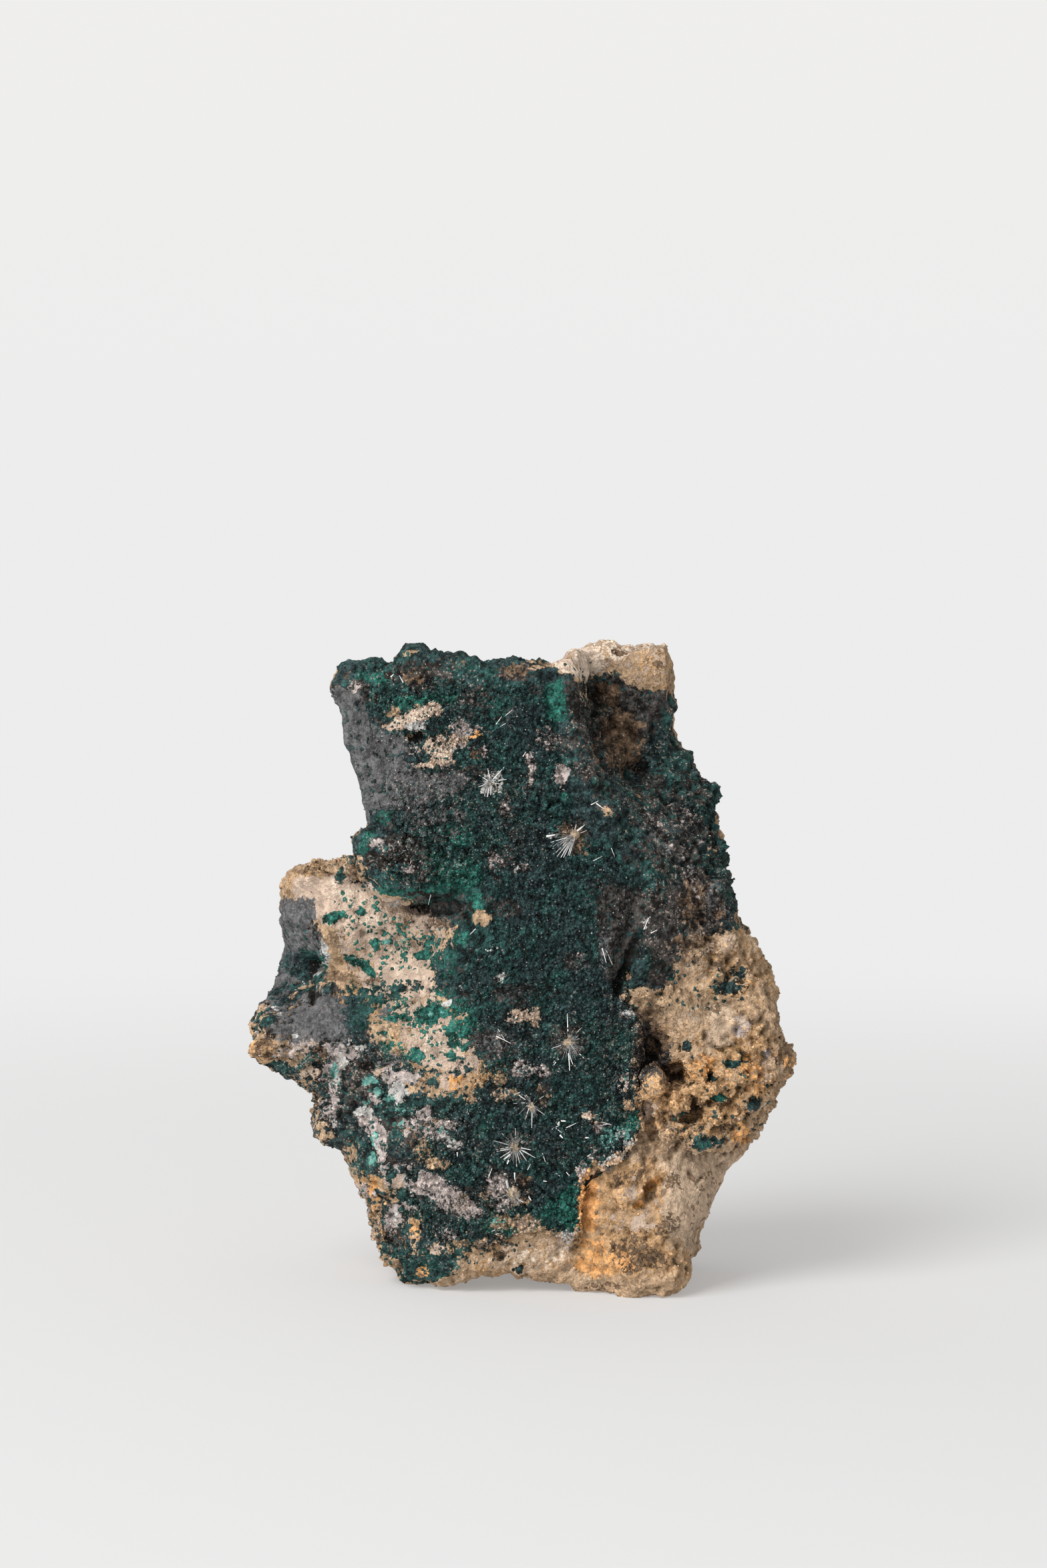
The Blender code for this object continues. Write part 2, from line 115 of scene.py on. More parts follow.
# Larger areas of one mineral on the front, as outlines in the photograph's pixels: (mineral, strength,
# softness in pixels, outline)
SKIN_ZONES = (
    ("grey", 1.0, 7, (
        (488, 1022), (520, 1030), (548, 1052), (556, 1084), (585, 1098), (612, 1104), (618, 1122),
        (606, 1140), (640, 1156), (690, 1160), (704, 1168), (690, 1188), (650, 1200), (620, 1216),
        (575, 1214), (545, 1226), (515, 1222))),
    ("grey", 1.0, 8, (
        (395, 1345), (455, 1345), (472, 1348), (472, 1378), (462, 1392), (482, 1408), (486, 1432),
        (452, 1440), (450, 1470), (425, 1500), (395, 1515))),
    ("umber", 1.0, 8, (
        (440, 1502), (455, 1480), (482, 1470), (510, 1480), (516, 1505), (524, 1522), (536, 1546),
        (515, 1566), (480, 1562), (450, 1550), (400, 1552), (425, 1525))),
    # Painted shadow: the umber strip under the overhang of the green lobe
    ("umber", 0.9, 7, (
        (622, 1343), (690, 1342), (705, 1362), (690, 1378), (640, 1372), (618, 1360))),
    ("umber", 1.0, 9, (
        (845, 1010), (870, 1026), (893, 1018), (905, 1006), (925, 1012), (940, 1028), (975, 1035),
        (1008, 1034), (1004, 1060), (985, 1085), (968, 1120), (965, 1155), (925, 1158), (890, 1140),
        (870, 1110), (855, 1080), (845, 1040))),
    ("umber", 1.0, 9, (
        (895, 1318), (930, 1326), (960, 1330), (1000, 1338), (1030, 1344), (1020, 1400), (1008, 1450),
        (992, 1480), (966, 1478), (975, 1440), (960, 1400), (944, 1440), (930, 1480), (914, 1500),
        (905, 1440), (892, 1380))),
    ("umber", 1.0, 8, (
        (690, 1560), (715, 1538), (755, 1543), (764, 1568), (748, 1588), (712, 1590))),
    ("umber", 0.9, 9, (
        (520, 1560), (552, 1575), (548, 1600), (552, 1650), (535, 1675), (516, 1668), (512, 1610))),
    ("umber", 0.9, 7, (
        (560, 1672), (600, 1668), (632, 1672), (640, 1690), (600, 1694), (565, 1692))),
    ("cream", 1.0, 6, (
        (440, 1312), (482, 1314), (520, 1310), (540, 1322), (562, 1342), (596, 1372), (590, 1396),
        (560, 1404), (520, 1400), (478, 1378), (462, 1360), (440, 1340))),
    ("cream", 1.0, 5, (
        (562, 1432), (600, 1430), (640, 1440), (648, 1466), (652, 1494), (626, 1492), (606, 1476),
        (570, 1470), (558, 1456))),
    ("cream", 0.95, 6, (
        (610, 1570), (618, 1552), (636, 1540), (668, 1536), (684, 1550), (694, 1572), (714, 1590),
        (714, 1606), (690, 1600), (660, 1604), (640, 1600), (622, 1588))),
    ("lilac", 1.0, 6, (
        (598, 1742), (634, 1750), (658, 1762), (668, 1776), (692, 1788), (706, 1802), (700, 1816),
        (660, 1814), (640, 1802), (622, 1790), (628, 1768))),
    ("cream", 1.0, 5, (
        (822, 1000), (835, 982), (850, 968), (875, 960), (898, 964), (902, 985), (904, 1002), (886, 1012),
        (870, 1018), (850, 1010))),
    ("bright", 1.0, 6, (
        (818, 1026), (846, 1018), (849, 1078), (838, 1086), (822, 1078), (816, 1050))),
    ("bright", 1.0, 6, (
        (702, 1340), (722, 1336), (725, 1366), (716, 1374), (704, 1362))),
    ("bright", 0.75, 12, (
        (630, 1322), (660, 1292), (700, 1282), (722, 1300), (722, 1340), (660, 1344), (630, 1344))),
    ("bright", 0.85, 9, (
        (820, 1800), (862, 1764), (870, 1846), (850, 1845), (838, 1830), (800, 1826))),
    # Painted shade: these two dark zones darken the crevice beside the crust's edge and the groove below it,
    # where shadow falls
    ("dark", 0.6, 8, (
        (958, 1512), (968, 1540), (990, 1556), (1000, 1590), (995, 1610), (968, 1612), (950, 1650),
        (958, 1690), (948, 1660), (948, 1600), (957, 1560))),
    ("dark", 0.6, 10, (
        (920, 1440), (950, 1396), (962, 1392), (952, 1440), (926, 1496), (914, 1500))),
    ("haze", 1.0, 10, (
        (1000, 1742), (1020, 1722), (1110, 1728), (1130, 1710), (1075, 1800), (1060, 1870), (1030, 1872),
        (1004, 1850), (990, 1820), (996, 1780))),
    ("haze", 0.8, 8, (
        (1062, 1505), (1100, 1500), (1100, 1560), (1070, 1580), (1052, 1560))),
    ("ochre", 0.62, 9, (
        (876, 1752), (905, 1742), (950, 1738), (988, 1730), (1002, 1760), (992, 1800), (1000, 1850),
        (1012, 1900), (940, 1916), (870, 1908), (868, 1850), (868, 1790))),
    ("cream", 0.62, 10, (
        (500, 1330), (560, 1340), (640, 1362), (680, 1390), (650, 1440), (660, 1500), (700, 1545),
        (720, 1600), (690, 1625), (630, 1600), (600, 1560), (560, 1480), (510, 1440), (500, 1380))),
    ("umber", 0.9, 8, (
        (958, 1506), (975, 1530), (1000, 1556), (1010, 1600), (1000, 1625), (968, 1625), (955, 1660),
        (948, 1600), (952, 1550))),
    # Painted light: the cap's pale cream crust, made lighter where it is lit from above
    ("chalk", 0.5, 7, (
        (828, 1002), (838, 980), (856, 962), (900, 950), (930, 955), (990, 948), (998, 975), (945, 985),
        (908, 1002), (872, 1018))),
    ("cream", 0.3, 8, (
        (905, 960), (1005, 950), (1012, 1020), (970, 1034), (935, 1022), (908, 1004))),
    ("rust", 0.55, 9, (
        (868, 1768), (892, 1772), (904, 1800), (898, 1838), (884, 1866), (935, 1876), (962, 1902),
        (900, 1914), (856, 1902), (868, 1850))),
    ("grey", 0.85, 9, (
        (440, 1505), (470, 1480), (512, 1490), (540, 1545), (515, 1566), (450, 1555), (410, 1550))),
)

# Patches on that ground, and how much of it single green or pale grains cover. Each is an ellipse in the
# photograph's pixels: (x, y, half width, half height, strength, and a turn in degrees if it has one)
SKIN_PATCHES = {
    "tan": (
        (620, 976, 16, 5, 0.7), (590, 1065, 12, 9, 0.8), (802, 998, 18, 6, 1.0), (678, 1183, 14, 5, 0.8, -10),
        (722, 1376, 13, 13, 0.95), (913, 1216, 11, 7, 0.95, 10), (948, 1490, 18, 9, 0.9, -5),
        (978, 1496, 14, 10, 0.6), (1062, 1275, 12, 8, 0.6), (480, 1300, 34, 14, 0.9, -8),
        (520, 1300, 22, 12, 0.8), (430, 1330, 14, 16, 0.6), (500, 1425, 14, 36, 1.0),
        (540, 1465, 44, 16, 1.0), (520, 1410, 40, 14, 0.7), (600, 1412, 60, 22, 0.8),
        (580, 1500, 42, 34, 0.75), (600, 1545, 34, 13, 0.95, -20), (580, 1560, 22, 12, 0.9),
        (640, 1488, 20, 14, 0.9), (655, 1600, 50, 40, 0.95), (747, 1618, 10, 9, 0.9),
        (767, 1640, 11, 9, 0.95), (815, 1640, 12, 18, 0.35), (705, 1648, 10, 8, 0.8),
        (395, 1572, 26, 22, 0.8), (410, 1588, 34, 10, 0.9, 10), (460, 1620, 12, 6, 0.8, 20),
        (475, 1636, 5, 14, 0.9, -20), (475, 1694, 14, 22, 0.9), (490, 1702, 11, 9, 0.8),
        (520, 1726, 14, 16, 0.7), (530, 1765, 16, 16, 0.9), (560, 1775, 30, 14, 0.8),
        (617, 1698, 14, 6, 0.9, 10), (648, 1742, 13, 8, 0.95), (632, 1722, 12, 18, 0.6, 20),
        (585, 1792, 14, 10, 0.6), (565, 1805, 12, 22, 0.8), (560, 1862, 12, 22, 0.9),
        (585, 1893, 15, 12, 0.9), (620, 1842, 10, 22, 0.8), (625, 1880, 14, 8, 0.5), (632, 1904, 12, 8, 0.9),
        (670, 1872, 9, 9, 0.9), (690, 1862, 13, 8, 0.8), (728, 1790, 14, 8, 0.6),
        (730, 1866, 30, 12, 0.7, -20), (760, 1884, 76, 28, 1.0, -8), (820, 1872, 60, 26, 1.0),
        (880, 1672, 9, 8, 1.0), (941, 1655, 9, 7, 1.0), (955, 1745, 100, 5, 0.3), (570, 1830, 12, 30, 0.7),
        (660, 1745, 16, 8, 0.6), (785, 1832, 24, 13, 0.8), (750, 1836, 14, 10, 0.6),
        (462, 1606, 16, 12, 0.95), (750, 1638, 14, 12, 0.6), (782, 1798, 14, 10, 0.6),
        (752, 1832, 16, 12, 0.9),
    ),
    "cream": (
        (602, 1083, 28, 10, 0.95, -12), (630, 1069, 26, 12, 0.95, -25), (645, 1060, 9, 7, 0.9),
        (650, 1114, 24, 9, 0.95, -35), (664, 1128, 18, 16, 0.9), (664, 1142, 20, 8, 0.8),
        (640, 1148, 32, 4, 0.9), (840, 1160, 13, 15, 0.55), (590, 1353, 14, 6, 0.9), (626, 1390, 16, 12, 0.8),
        (580, 1404, 24, 12, 0.8), (625, 1515, 12, 10, 0.95, -40), (680, 1522, 22, 4, 0.8),
        (776, 1522, 20, 9, 0.75, -10), (800, 1524, 8, 14, 0.8), (450, 1562, 14, 16, 0.7, 20),
        (700, 1600, 16, 8, 0.9), (690, 1572, 8, 10, 0.7), (650, 1575, 26, 20, 0.9), (571, 1606, 14, 8, 0.6),
        (612, 1613, 16, 10, 0.6), (570, 1722, 7, 18, 0.6), (845, 1860, 14, 16, 0.6), (935, 1625, 7, 16, 0.7),
        (978, 1624, 17, 17, 0.3), (1100, 1610, 14, 13, 0.4), (1090, 1415, 12, 15, 0.5),
        (975, 1812, 12, 14, 0.4), (962, 1832, 24, 14, 0.35), (940, 1786, 20, 11, 0.3),
        (1109, 1538, 12, 16, 0.6), (1030, 1530, 20, 16, 0.3), (655, 1096, 12, 10, 1.0),
        (560, 1478, 18, 14, 0.95), (526, 1416, 16, 16, 0.7), (880, 1002, 22, 12, 0.8),
        (958, 1768, 16, 12, 0.35), (930, 1826, 20, 12, 0.35), (985, 1800, 14, 18, 0.3),
        (590, 1766, 20, 15, 0.9), (974, 1668, 14, 12, 0.35), (558, 1382, 20, 14, 0.8),
        (654, 1064, 10, 9, 0.8), (686, 1094, 17, 12, 0.8), (974, 1656, 16, 18, 0.3), (942, 1734, 16, 10, 0.4),
        (1070, 1640, 30, 20, 0.17), (558, 1414, 14, 10, 0.6), (592, 1410, 20, 10, 0.6),
        (462, 1608, 14, 10, 0.8), (748, 1640, 14, 10, 0.6), (785, 1834, 20, 10, 0.6),
        (686, 1112, 14, 22, 0.7), (942, 1838, 26, 10, 0.3), (972, 1668, 12, 16, 0.7),
        (940, 1790, 18, 12, 0.5), (962, 1832, 22, 12, 0.6), (915, 1745, 20, 9, 0.5, -20),
        (880, 1672, 9, 8, 0.9), (673, 1622, 18, 11, 0.9), (655, 1872, 13, 9, 0.9),
    ),
    "lilac": (
        (530, 1040, 14, 22, 0.4), (820, 1112, 26, 14, 0.5), (795, 1150, 7, 26, 0.8), (840, 1160, 14, 16, 0.9),
        (757, 1205, 7, 24, 0.5), (745, 1290, 18, 12, 0.5), (565, 1262, 14, 8, 0.8), (592, 1268, 22, 12, 0.5),
        (612, 1297, 12, 12, 0.8), (550, 1326, 10, 8, 0.7), (640, 1166, 60, 6, 0.4), (700, 1045, 34, 8, 0.3),
        (925, 1128, 14, 22, 0.5), (915, 1050, 14, 18, 0.4), (785, 1300, 20, 7, 0.6), (455, 1562, 20, 16, 0.6),
        (425, 1578, 24, 8, 0.5), (497, 1655, 7, 24, 0.9), (612, 1613, 20, 12, 0.95), (560, 1645, 14, 8, 0.8),
        (555, 1690, 28, 8, 0.95, 35), (572, 1722, 8, 20, 0.8), (638, 1668, 14, 12, 0.8),
        (665, 1684, 22, 8, 0.7, 15), (585, 1752, 22, 10, 0.7), (545, 1788, 20, 14, 0.9),
        (595, 1818, 8, 18, 0.9, -20), (684, 1716, 9, 10, 0.8), (746, 1778, 16, 22, 0.7),
        (752, 1806, 14, 16, 0.6), (905, 1727, 28, 12, 0.35, -15), (872, 1754, 11, 13, 0.7),
        (895, 1690, 12, 8, 0.7), (935, 1622, 8, 18, 0.7), (1110, 1540, 14, 16, 0.5),
        (1146, 1580, 10, 12, 0.7), (860, 1440, 20, 12, 0.35), (850, 1852, 10, 12, 0.6),
        (1030, 1225, 24, 12, 0.5, 35), (1010, 1275, 30, 8, 0.5, 40), (1040, 1330, 40, 8, 0.55, 45),
        (960, 1215, 50, 6, 0.5, 35), (1060, 1270, 30, 6, 0.5, 50), (560, 1690, 14, 30, 1.0, -40),
        (640, 1775, 34, 14, 1.0, 25), (690, 1808, 34, 14, 0.9, 20), (620, 1690, 18, 22, 0.5, -30),
        (500, 1640, 10, 50, 0.8), (590, 1610, 22, 14, 0.9), (585, 1830, 10, 26, 0.8, -10),
        (655, 1700, 26, 10, 0.8, 20), (670, 1850, 12, 8, 0.6), (690, 1092, 18, 14, 0.95),
        (688, 1128, 14, 10, 0.85), (718, 1096, 13, 10, 0.5), (590, 1766, 20, 18, 0.3),
        (622, 1800, 18, 14, 1.0), (782, 1602, 18, 14, 0.75), (814, 1606, 14, 12, 0.6),
        (494, 1606, 16, 14, 1.0), (494, 1574, 14, 12, 0.7), (494, 1668, 13, 16, 0.8),
        (526, 1542, 14, 12, 0.7), (620, 1768, 14, 10, 1.0), (904, 1046, 14, 9, 0.8), (526, 1576, 14, 12, 0.7),
        (650, 1216, 46, 20, 0.3), (814, 1096, 14, 12, 0.4), (622, 1126, 13, 11, 0.6),
        (718, 1126, 14, 12, 0.5), (507, 1586, 9, 24, 1.0, 10), (553, 1691, 18, 8, 1.0, 45),
        (616, 1770, 13, 18, 0.9, -30), (648, 1800, 34, 9, 0.9, 25),
    ),
    "rust": (
        (710, 1101, 12, 7, 0.75), (376, 1556, 4, 18, 0.9), (684, 1622, 14, 12, 0.5), (560, 1773, 6, 10, 0.9),
        (620, 1842, 8, 18, 0.55), (634, 1904, 10, 7, 0.8), (565, 1800, 12, 10, 0.5), (560, 1868, 10, 10, 0.5),
        (878, 1836, 14, 14, 0.8), (886, 1896, 30, 18, 0.5), (896, 1866, 20, 20, 0.45),
        (957, 1806, 9, 8, 0.85), (1060, 1592, 9, 12, 0.7), (1046, 1604, 26, 16, 0.45),
        (1125, 1600, 20, 20, 0.45), (1110, 1700, 16, 16, 0.7, -30), (1132, 1632, 12, 12, 0.5),
        (1182, 1592, 10, 12, 0.6), (930, 1905, 30, 8, 0.4), (1122, 1478, 10, 10, 0.5),
        (881, 1800, 13, 46, 0.95), (900, 1895, 42, 13, 0.6), (976, 1778, 16, 8, 0.8, -50),
    ),
    "brown": (
        (925, 977, 11, 8, 1.0, 15), (985, 990, 12, 20, 0.4), (930, 1100, 34, 34, 0.8),
        (930, 1072, 14, 12, 0.7), (915, 1050, 16, 24, 0.5), (620, 1012, 26, 14, 0.5),
        (770, 1006, 22, 12, 0.6), (712, 1130, 12, 8, 0.7), (465, 1302, 18, 10, 0.6), (528, 1297, 12, 10, 0.6),
        (855, 1248, 16, 14, 0.8), (870, 1270, 14, 14, 0.5), (500, 1460, 20, 10, 0.5),
        (545, 1466, 40, 12, 0.4), (505, 1405, 14, 12, 0.5), (600, 1385, 22, 10, 0.4),
        (650, 1385, 26, 10, 0.5), (600, 1590, 30, 10, 0.4), (395, 1572, 20, 16, 0.6),
        (480, 1580, 14, 14, 0.7), (470, 1692, 8, 14, 0.5), (540, 1795, 18, 12, 0.5), (560, 1812, 12, 24, 0.5),
        (620, 1714, 12, 14, 0.5), (1010, 1613, 20, 20, 1.0), (1012, 1672, 38, 12, 0.45),
        (1040, 1655, 16, 14, 0.7), (975, 1518, 18, 14, 0.7), (1035, 1412, 40, 12, 0.6),
        (868, 1858, 9, 14, 0.45, 20), (930, 1764, 26, 8, 0.6, -35), (958, 1758, 20, 8, 0.5, -50),
        (995, 1838, 20, 14, 0.6, -30), (945, 1872, 34, 26, 0.6), (975, 1886, 24, 14, 0.7),
        (1005, 1890, 10, 12, 0.6), (1020, 1700, 30, 12, 0.4), (1090, 1690, 22, 8, 0.6, -20),
        (1172, 1585, 12, 14, 0.5), (1120, 1660, 20, 20, 0.4), (1040, 1350, 26, 44, 0.6),
        (1075, 1370, 14, 30, 0.4), (748, 1880, 10, 8, 0.8), (985, 1560, 14, 30, 0.7),
        (940, 1850, 40, 12, 0.4), (640, 1624, 24, 10, 0.45), (915, 1042, 14, 16, 0.9),
        (936, 1082, 16, 14, 1.0), (930, 1120, 28, 36, 0.9), (910, 1926, 30, 6, 0.5), (782, 1768, 14, 10, 0.5),
        (908, 1036, 22, 16, 0.9), (1006, 1768, 15, 13, 0.55), (1006, 1830, 16, 16, 0.5),
        (1068, 1510, 14, 10, 0.5), (942, 1896, 20, 14, 0.75), (1052, 1436, 40, 16, 0.4),
        (1050, 1800, 50, 60, 0.24, 20), (1045, 1540, 50, 40, 0.18), (690, 1800, 16, 12, 0.5),
    ),
    "umber": (
        (532, 1040, 24, 26, 0.85), (600, 1112, 40, 16, 0.5), (562, 1086, 36, 12, 0.5),
        (620, 1010, 34, 22, 0.8), (655, 1010, 26, 22, 0.7), (770, 1006, 30, 14, 0.8),
        (805, 1036, 12, 12, 0.8), (715, 1050, 30, 26, 0.6), (690, 1160, 50, 14, 0.7),
        (650, 1180, 50, 14, 0.7), (840, 1110, 34, 20, 0.5), (790, 1160, 16, 34, 0.6),
        (760, 1210, 14, 34, 0.6), (745, 1290, 26, 22, 0.6), (770, 1262, 20, 22, 0.5),
        (600, 1270, 44, 22, 0.9), (622, 1296, 22, 16, 0.9), (640, 1312, 22, 12, 0.7),
        (605, 1316, 14, 10, 0.5), (590, 1225, 40, 14, 0.5), (700, 1230, 60, 26, 0.2),
        (860, 1250, 26, 26, 0.8), (905, 1200, 20, 20, 0.5), (880, 1120, 30, 50, 0.6),
        (760, 1362, 22, 16, 0.8), (735, 1352, 14, 14, 0.5), (860, 1440, 30, 16, 0.5),
        (770, 1490, 40, 16, 0.6), (700, 1495, 26, 14, 0.5), (745, 1466, 16, 10, 0.5),
        (970, 1280, 40, 30, 0.5), (1010, 1250, 60, 16, 0.9, 42), (1010, 1225, 50, 14, 0.8, 38),
        (1035, 1300, 60, 14, 0.8, 45), (1040, 1360, 50, 44, 1.0), (985, 1175, 50, 16, 0.6, 30),
        (1040, 1185, 40, 16, 0.6, 30), (1008, 1110, 8, 22, 0.6), (1075, 1210, 12, 24, 0.5),
        (1080, 1330, 16, 50, 0.5, 10), (480, 1490, 44, 20, 0.6), (440, 1535, 60, 18, 0.9),
        (430, 1560, 60, 14, 0.5), (535, 1620, 30, 60, 0.8), (575, 1590, 40, 12, 0.5),
        (600, 1720, 30, 22, 0.35), (650, 1680, 40, 18, 0.35), (600, 1735, 30, 12, 0.5),
        (540, 1560, 26, 16, 0.7), (690, 1790, 30, 14, 0.5), (720, 1800, 20, 20, 0.5),
        (800, 1652, 26, 26, 0.6), (815, 1630, 20, 16, 0.7), (775, 1715, 30, 24, 0.7),
        (852, 1560, 30, 26, 0.85), (770, 1785, 30, 24, 0.7), (740, 1770, 24, 30, 0.6),
        (900, 1690, 20, 10, 0.5), (880, 1725, 24, 12, 0.5), (930, 1520, 26, 20, 0.4),
        (915, 1490, 14, 10, 0.6), (1010, 1420, 20, 30, 0.7), (580, 1840, 16, 22, 0.7),
        (595, 1862, 24, 12, 0.5), (560, 1760, 30, 14, 0.4), (745, 1868, 24, 14, 0.6),
        (760, 1575, 18, 14, 0.7), (840, 1740, 16, 18, 0.4), (755, 1620, 30, 30, 0.4),
        (480, 1640, 14, 30, 0.5), (500, 1700, 40, 14, 0.4), (1145, 1575, 16, 20, 0.4),
        (1105, 1460, 20, 20, 0.5), (470, 1395, 10, 20, 0.8, -10), (437, 1365, 22, 16, 0.6),
        (640, 1385, 30, 12, 0.6), (672, 1380, 20, 20, 0.5), (1020, 1290, 90, 14, 0.85, 42),
        (990, 1300, 70, 10, 0.7, 45), (1050, 1240, 40, 12, 0.7, 40), (950, 1230, 60, 10, 0.5, 35),
        (988, 1382, 36, 54, 1.0), (718, 1576, 14, 12, 0.9), (622, 1703, 14, 11, 0.8),
        (878, 1158, 15, 14, 0.9), (558, 1290, 18, 10, 0.7), (1050, 1430, 36, 14, 0.35),
        (655, 1222, 50, 24, 0.3),
    ),
    "grey": (
        (760, 1076, 20, 16, 0.6), (690, 1195, 30, 8, 0.3), (905, 1428, 8, 40, 0.8), (885, 1350, 10, 40, 0.4),
        (870, 1130, 16, 20, 0.2), (945, 1180, 30, 8, 0.6, 35), (580, 1520, 14, 14, 0.6),
        (585, 1588, 30, 9, 0.7), (800, 1450, 110, 60, 0.12), (690, 1460, 40, 50, 0.25),
        (740, 1560, 26, 20, 0.5), (430, 1515, 36, 18, 0.7), (930, 1540, 30, 50, 0.35),
        (975, 1250, 40, 6, 0.7, 40), (1030, 1300, 40, 7, 0.6, 45), (1065, 1345, 10, 30, 0.6, 15),
        (745, 1315, 8, 12, 0.7), (880, 1420, 26, 40, 0.3), (550, 1575, 20, 14, 0.5), (700, 1090, 20, 20, 0.3),
        (545, 1665, 12, 10, 0.7), (500, 1590, 14, 30, 0.5), (760, 1545, 20, 16, 0.5, -30),
        (445, 1545, 40, 18, 0.8), (655, 1236, 54, 30, 0.6),
    ),
    "malachite": (
        (460, 1445, 32, 24, 1.0), (425, 1490, 30, 16, 0.6, -20), (395, 1524, 22, 16, 0.7),
        (510, 1313, 8, 11, 1.0), (498, 1373, 16, 8, 1.0, -10), (541, 1366, 9, 6, 1.0), (561, 1413, 9, 8, 1.0),
        (530, 1439, 20, 6, 0.95, 20), (551, 1452, 18, 6, 0.95, 50), (490, 1482, 8, 8, 1.0),
        (630, 1430, 16, 7, 1.0), (646, 1418, 14, 14, 0.75), (575, 1490, 36, 14, 0.62),
        (596, 1480, 10, 8, 0.95), (545, 1500, 26, 20, 0.75), (535, 1530, 18, 24, 0.95),
        (600, 1524, 22, 10, 0.65), (650, 1520, 34, 9, 0.85), (640, 1530, 16, 6, 0.9),
        (578, 1550, 14, 6, 0.75, 20), (673, 1582, 18, 4, 1.0, 15), (624, 1583, 9, 14, 0.9, 25),
        (650, 1624, 12, 8, 0.8), (640, 1604, 14, 8, 0.6), (584, 1575, 34, 16, 0.6), (632, 1640, 20, 8, 0.6),
        (650, 1510, 20, 5, 0.8), (600, 1505, 14, 8, 0.6), (415, 1600, 34, 9, 1.0, 10),
        (450, 1613, 32, 16, 0.35, 20), (560, 1228, 20, 14, 0.6), (640, 1098, 24, 9, 0.8),
        (635, 1132, 14, 9, 0.7), (690, 1130, 14, 10, 0.9), (655, 1090, 12, 14, 0.9), (672, 1098, 12, 8, 0.6),
        (1087, 1480, 30, 8, 0.9), (1100, 1594, 14, 5, 1.0), (1079, 1645, 14, 7, 1.0),
        (1066, 1616, 12, 5, 0.9), (1058, 1712, 27, 10, 1.0), (1130, 1655, 12, 12, 0.85),
        (777, 1902, 8, 7, 1.0), (1105, 1455, 12, 14, 0.6), (1025, 1568, 14, 9, 0.7),
        (618, 1758, 8, 14, 1.0, 30), (570, 1790, 12, 5, 0.9, 45), (605, 1790, 12, 9, 0.95),
        (632, 1802, 22, 10, 1.0), (585, 1760, 10, 12, 0.8, 40), (686, 1544, 18, 14, 0.8),
        (688, 1572, 12, 9, 0.5), (718, 1576, 13, 12, 0.6), (604, 1420, 40, 14, 0.3),
        (622, 1476, 16, 12, 0.55), (656, 1446, 14, 18, 0.75), (690, 1556, 18, 22, 0.6),
        (600, 1600, 26, 9, 0.55), (652, 1496, 17, 24, 0.55), (690, 1606, 20, 12, 0.5),
    ),
    "bright": (
        (541, 1013, 8, 8, 0.9), (566, 1016, 24, 10, 0.65), (640, 1052, 56, 10, 0.85, -8),
        (615, 1050, 26, 9, 0.9), (690, 1000, 30, 8, 0.4), (740, 1005, 14, 10, 0.5), (846, 1195, 9, 9, 0.7),
        (550, 1262, 12, 22, 0.8, 20), (576, 1224, 16, 12, 0.6), (665, 1285, 16, 8, 0.5),
        (690, 1405, 14, 12, 0.8), (670, 1440, 16, 30, 0.55), (670, 1535, 14, 7, 0.9),
        (560, 1500, 30, 18, 0.4), (535, 1525, 16, 22, 0.4), (1079, 1645, 12, 6, 0.9),
        (1058, 1714, 18, 7, 0.5), (722, 1692, 12, 15, 0.6), (790, 1840, 44, 12, 0.55, -10),
        (748, 1836, 26, 14, 0.7), (700, 1870, 60, 14, 0.35), (640, 1880, 26, 14, 0.4),
        (556, 1742, 10, 8, 0.8), (660, 1720, 18, 12, 0.3), (945, 1682, 14, 16, 0.7),
        (930, 1560, 20, 40, 0.35), (860, 1500, 50, 12, 0.3), (1010, 1310, 30, 12, 0.35, 20),
        (985, 1300, 20, 10, 0.4), (1025, 1140, 18, 12, 0.3), (1080, 1220, 8, 40, 0.3),
        (1105, 1370, 6, 24, 0.5, -20), (680, 1250, 30, 30, 0.2), (860, 1600, 60, 40, 0.2),
        (640, 1895, 16, 18, 0.4), (680, 1830, 40, 16, 0.3), (560, 1400, 110, 80, 0.85),
        (640, 1540, 80, 60, 0.85), (750, 1062, 22, 18, 0.55), (654, 1288, 20, 14, 0.6),
        (688, 1254, 20, 16, 0.8), (656, 1250, 40, 16, 0.5),
    ),
    "teal": (
        (585, 1645, 14, 6, 0.5), (600, 1660, 12, 8, 0.58, 10), (549, 1652, 9, 4, 0.62),
        (500, 1612, 6, 18, 0.66), (559, 1706, 6, 12, 0.7), (556, 1735, 7, 9, 0.7),
        (668, 1702, 20, 5, 0.55, 40), (596, 1684, 10, 5, 0.55, -20), (924, 1704, 22, 13, 0.58, -25),
        (910, 1700, 10, 10, 0.55), (655, 1518, 24, 6, 0.39), (672, 1536, 10, 6, 0.39),
        (935, 1600, 8, 22, 0.39), (748, 1830, 12, 8, 0.4), (554, 1620, 14, 6, 1.0, 10),
        (566, 1634, 7, 6, 0.9, 20), (592, 1414, 26, 14, 0.3),
    ),
    "white": (
        (622, 1088, 18, 8, 0.7, -12), (487, 1430, 6, 18, 0.9, -15), (479, 1414, 5, 4, 1.0),
        (455, 1470, 14, 3, 0.5, -50), (591, 1353, 10, 5, 0.75), (594, 1632, 14, 12, 0.8),
        (545, 1666, 13, 9, 0.85, 10), (513, 1590, 10, 16, 0.6), (505, 1620, 4, 12, 0.5),
        (523, 1562, 6, 9, 0.5), (442, 1549, 5, 4, 0.9), (387, 1545, 6, 5, 0.8), (412, 1514, 9, 6, 0.7),
        (500, 1682, 4, 6, 0.8), (684, 1718, 9, 10, 0.6), (660, 1700, 10, 5, 0.5, 35),
        (592, 1822, 6, 14, 0.5, -20), (940, 1714, 4, 12, 0.95, 40), (915, 1738, 22, 2, 0.9, -20),
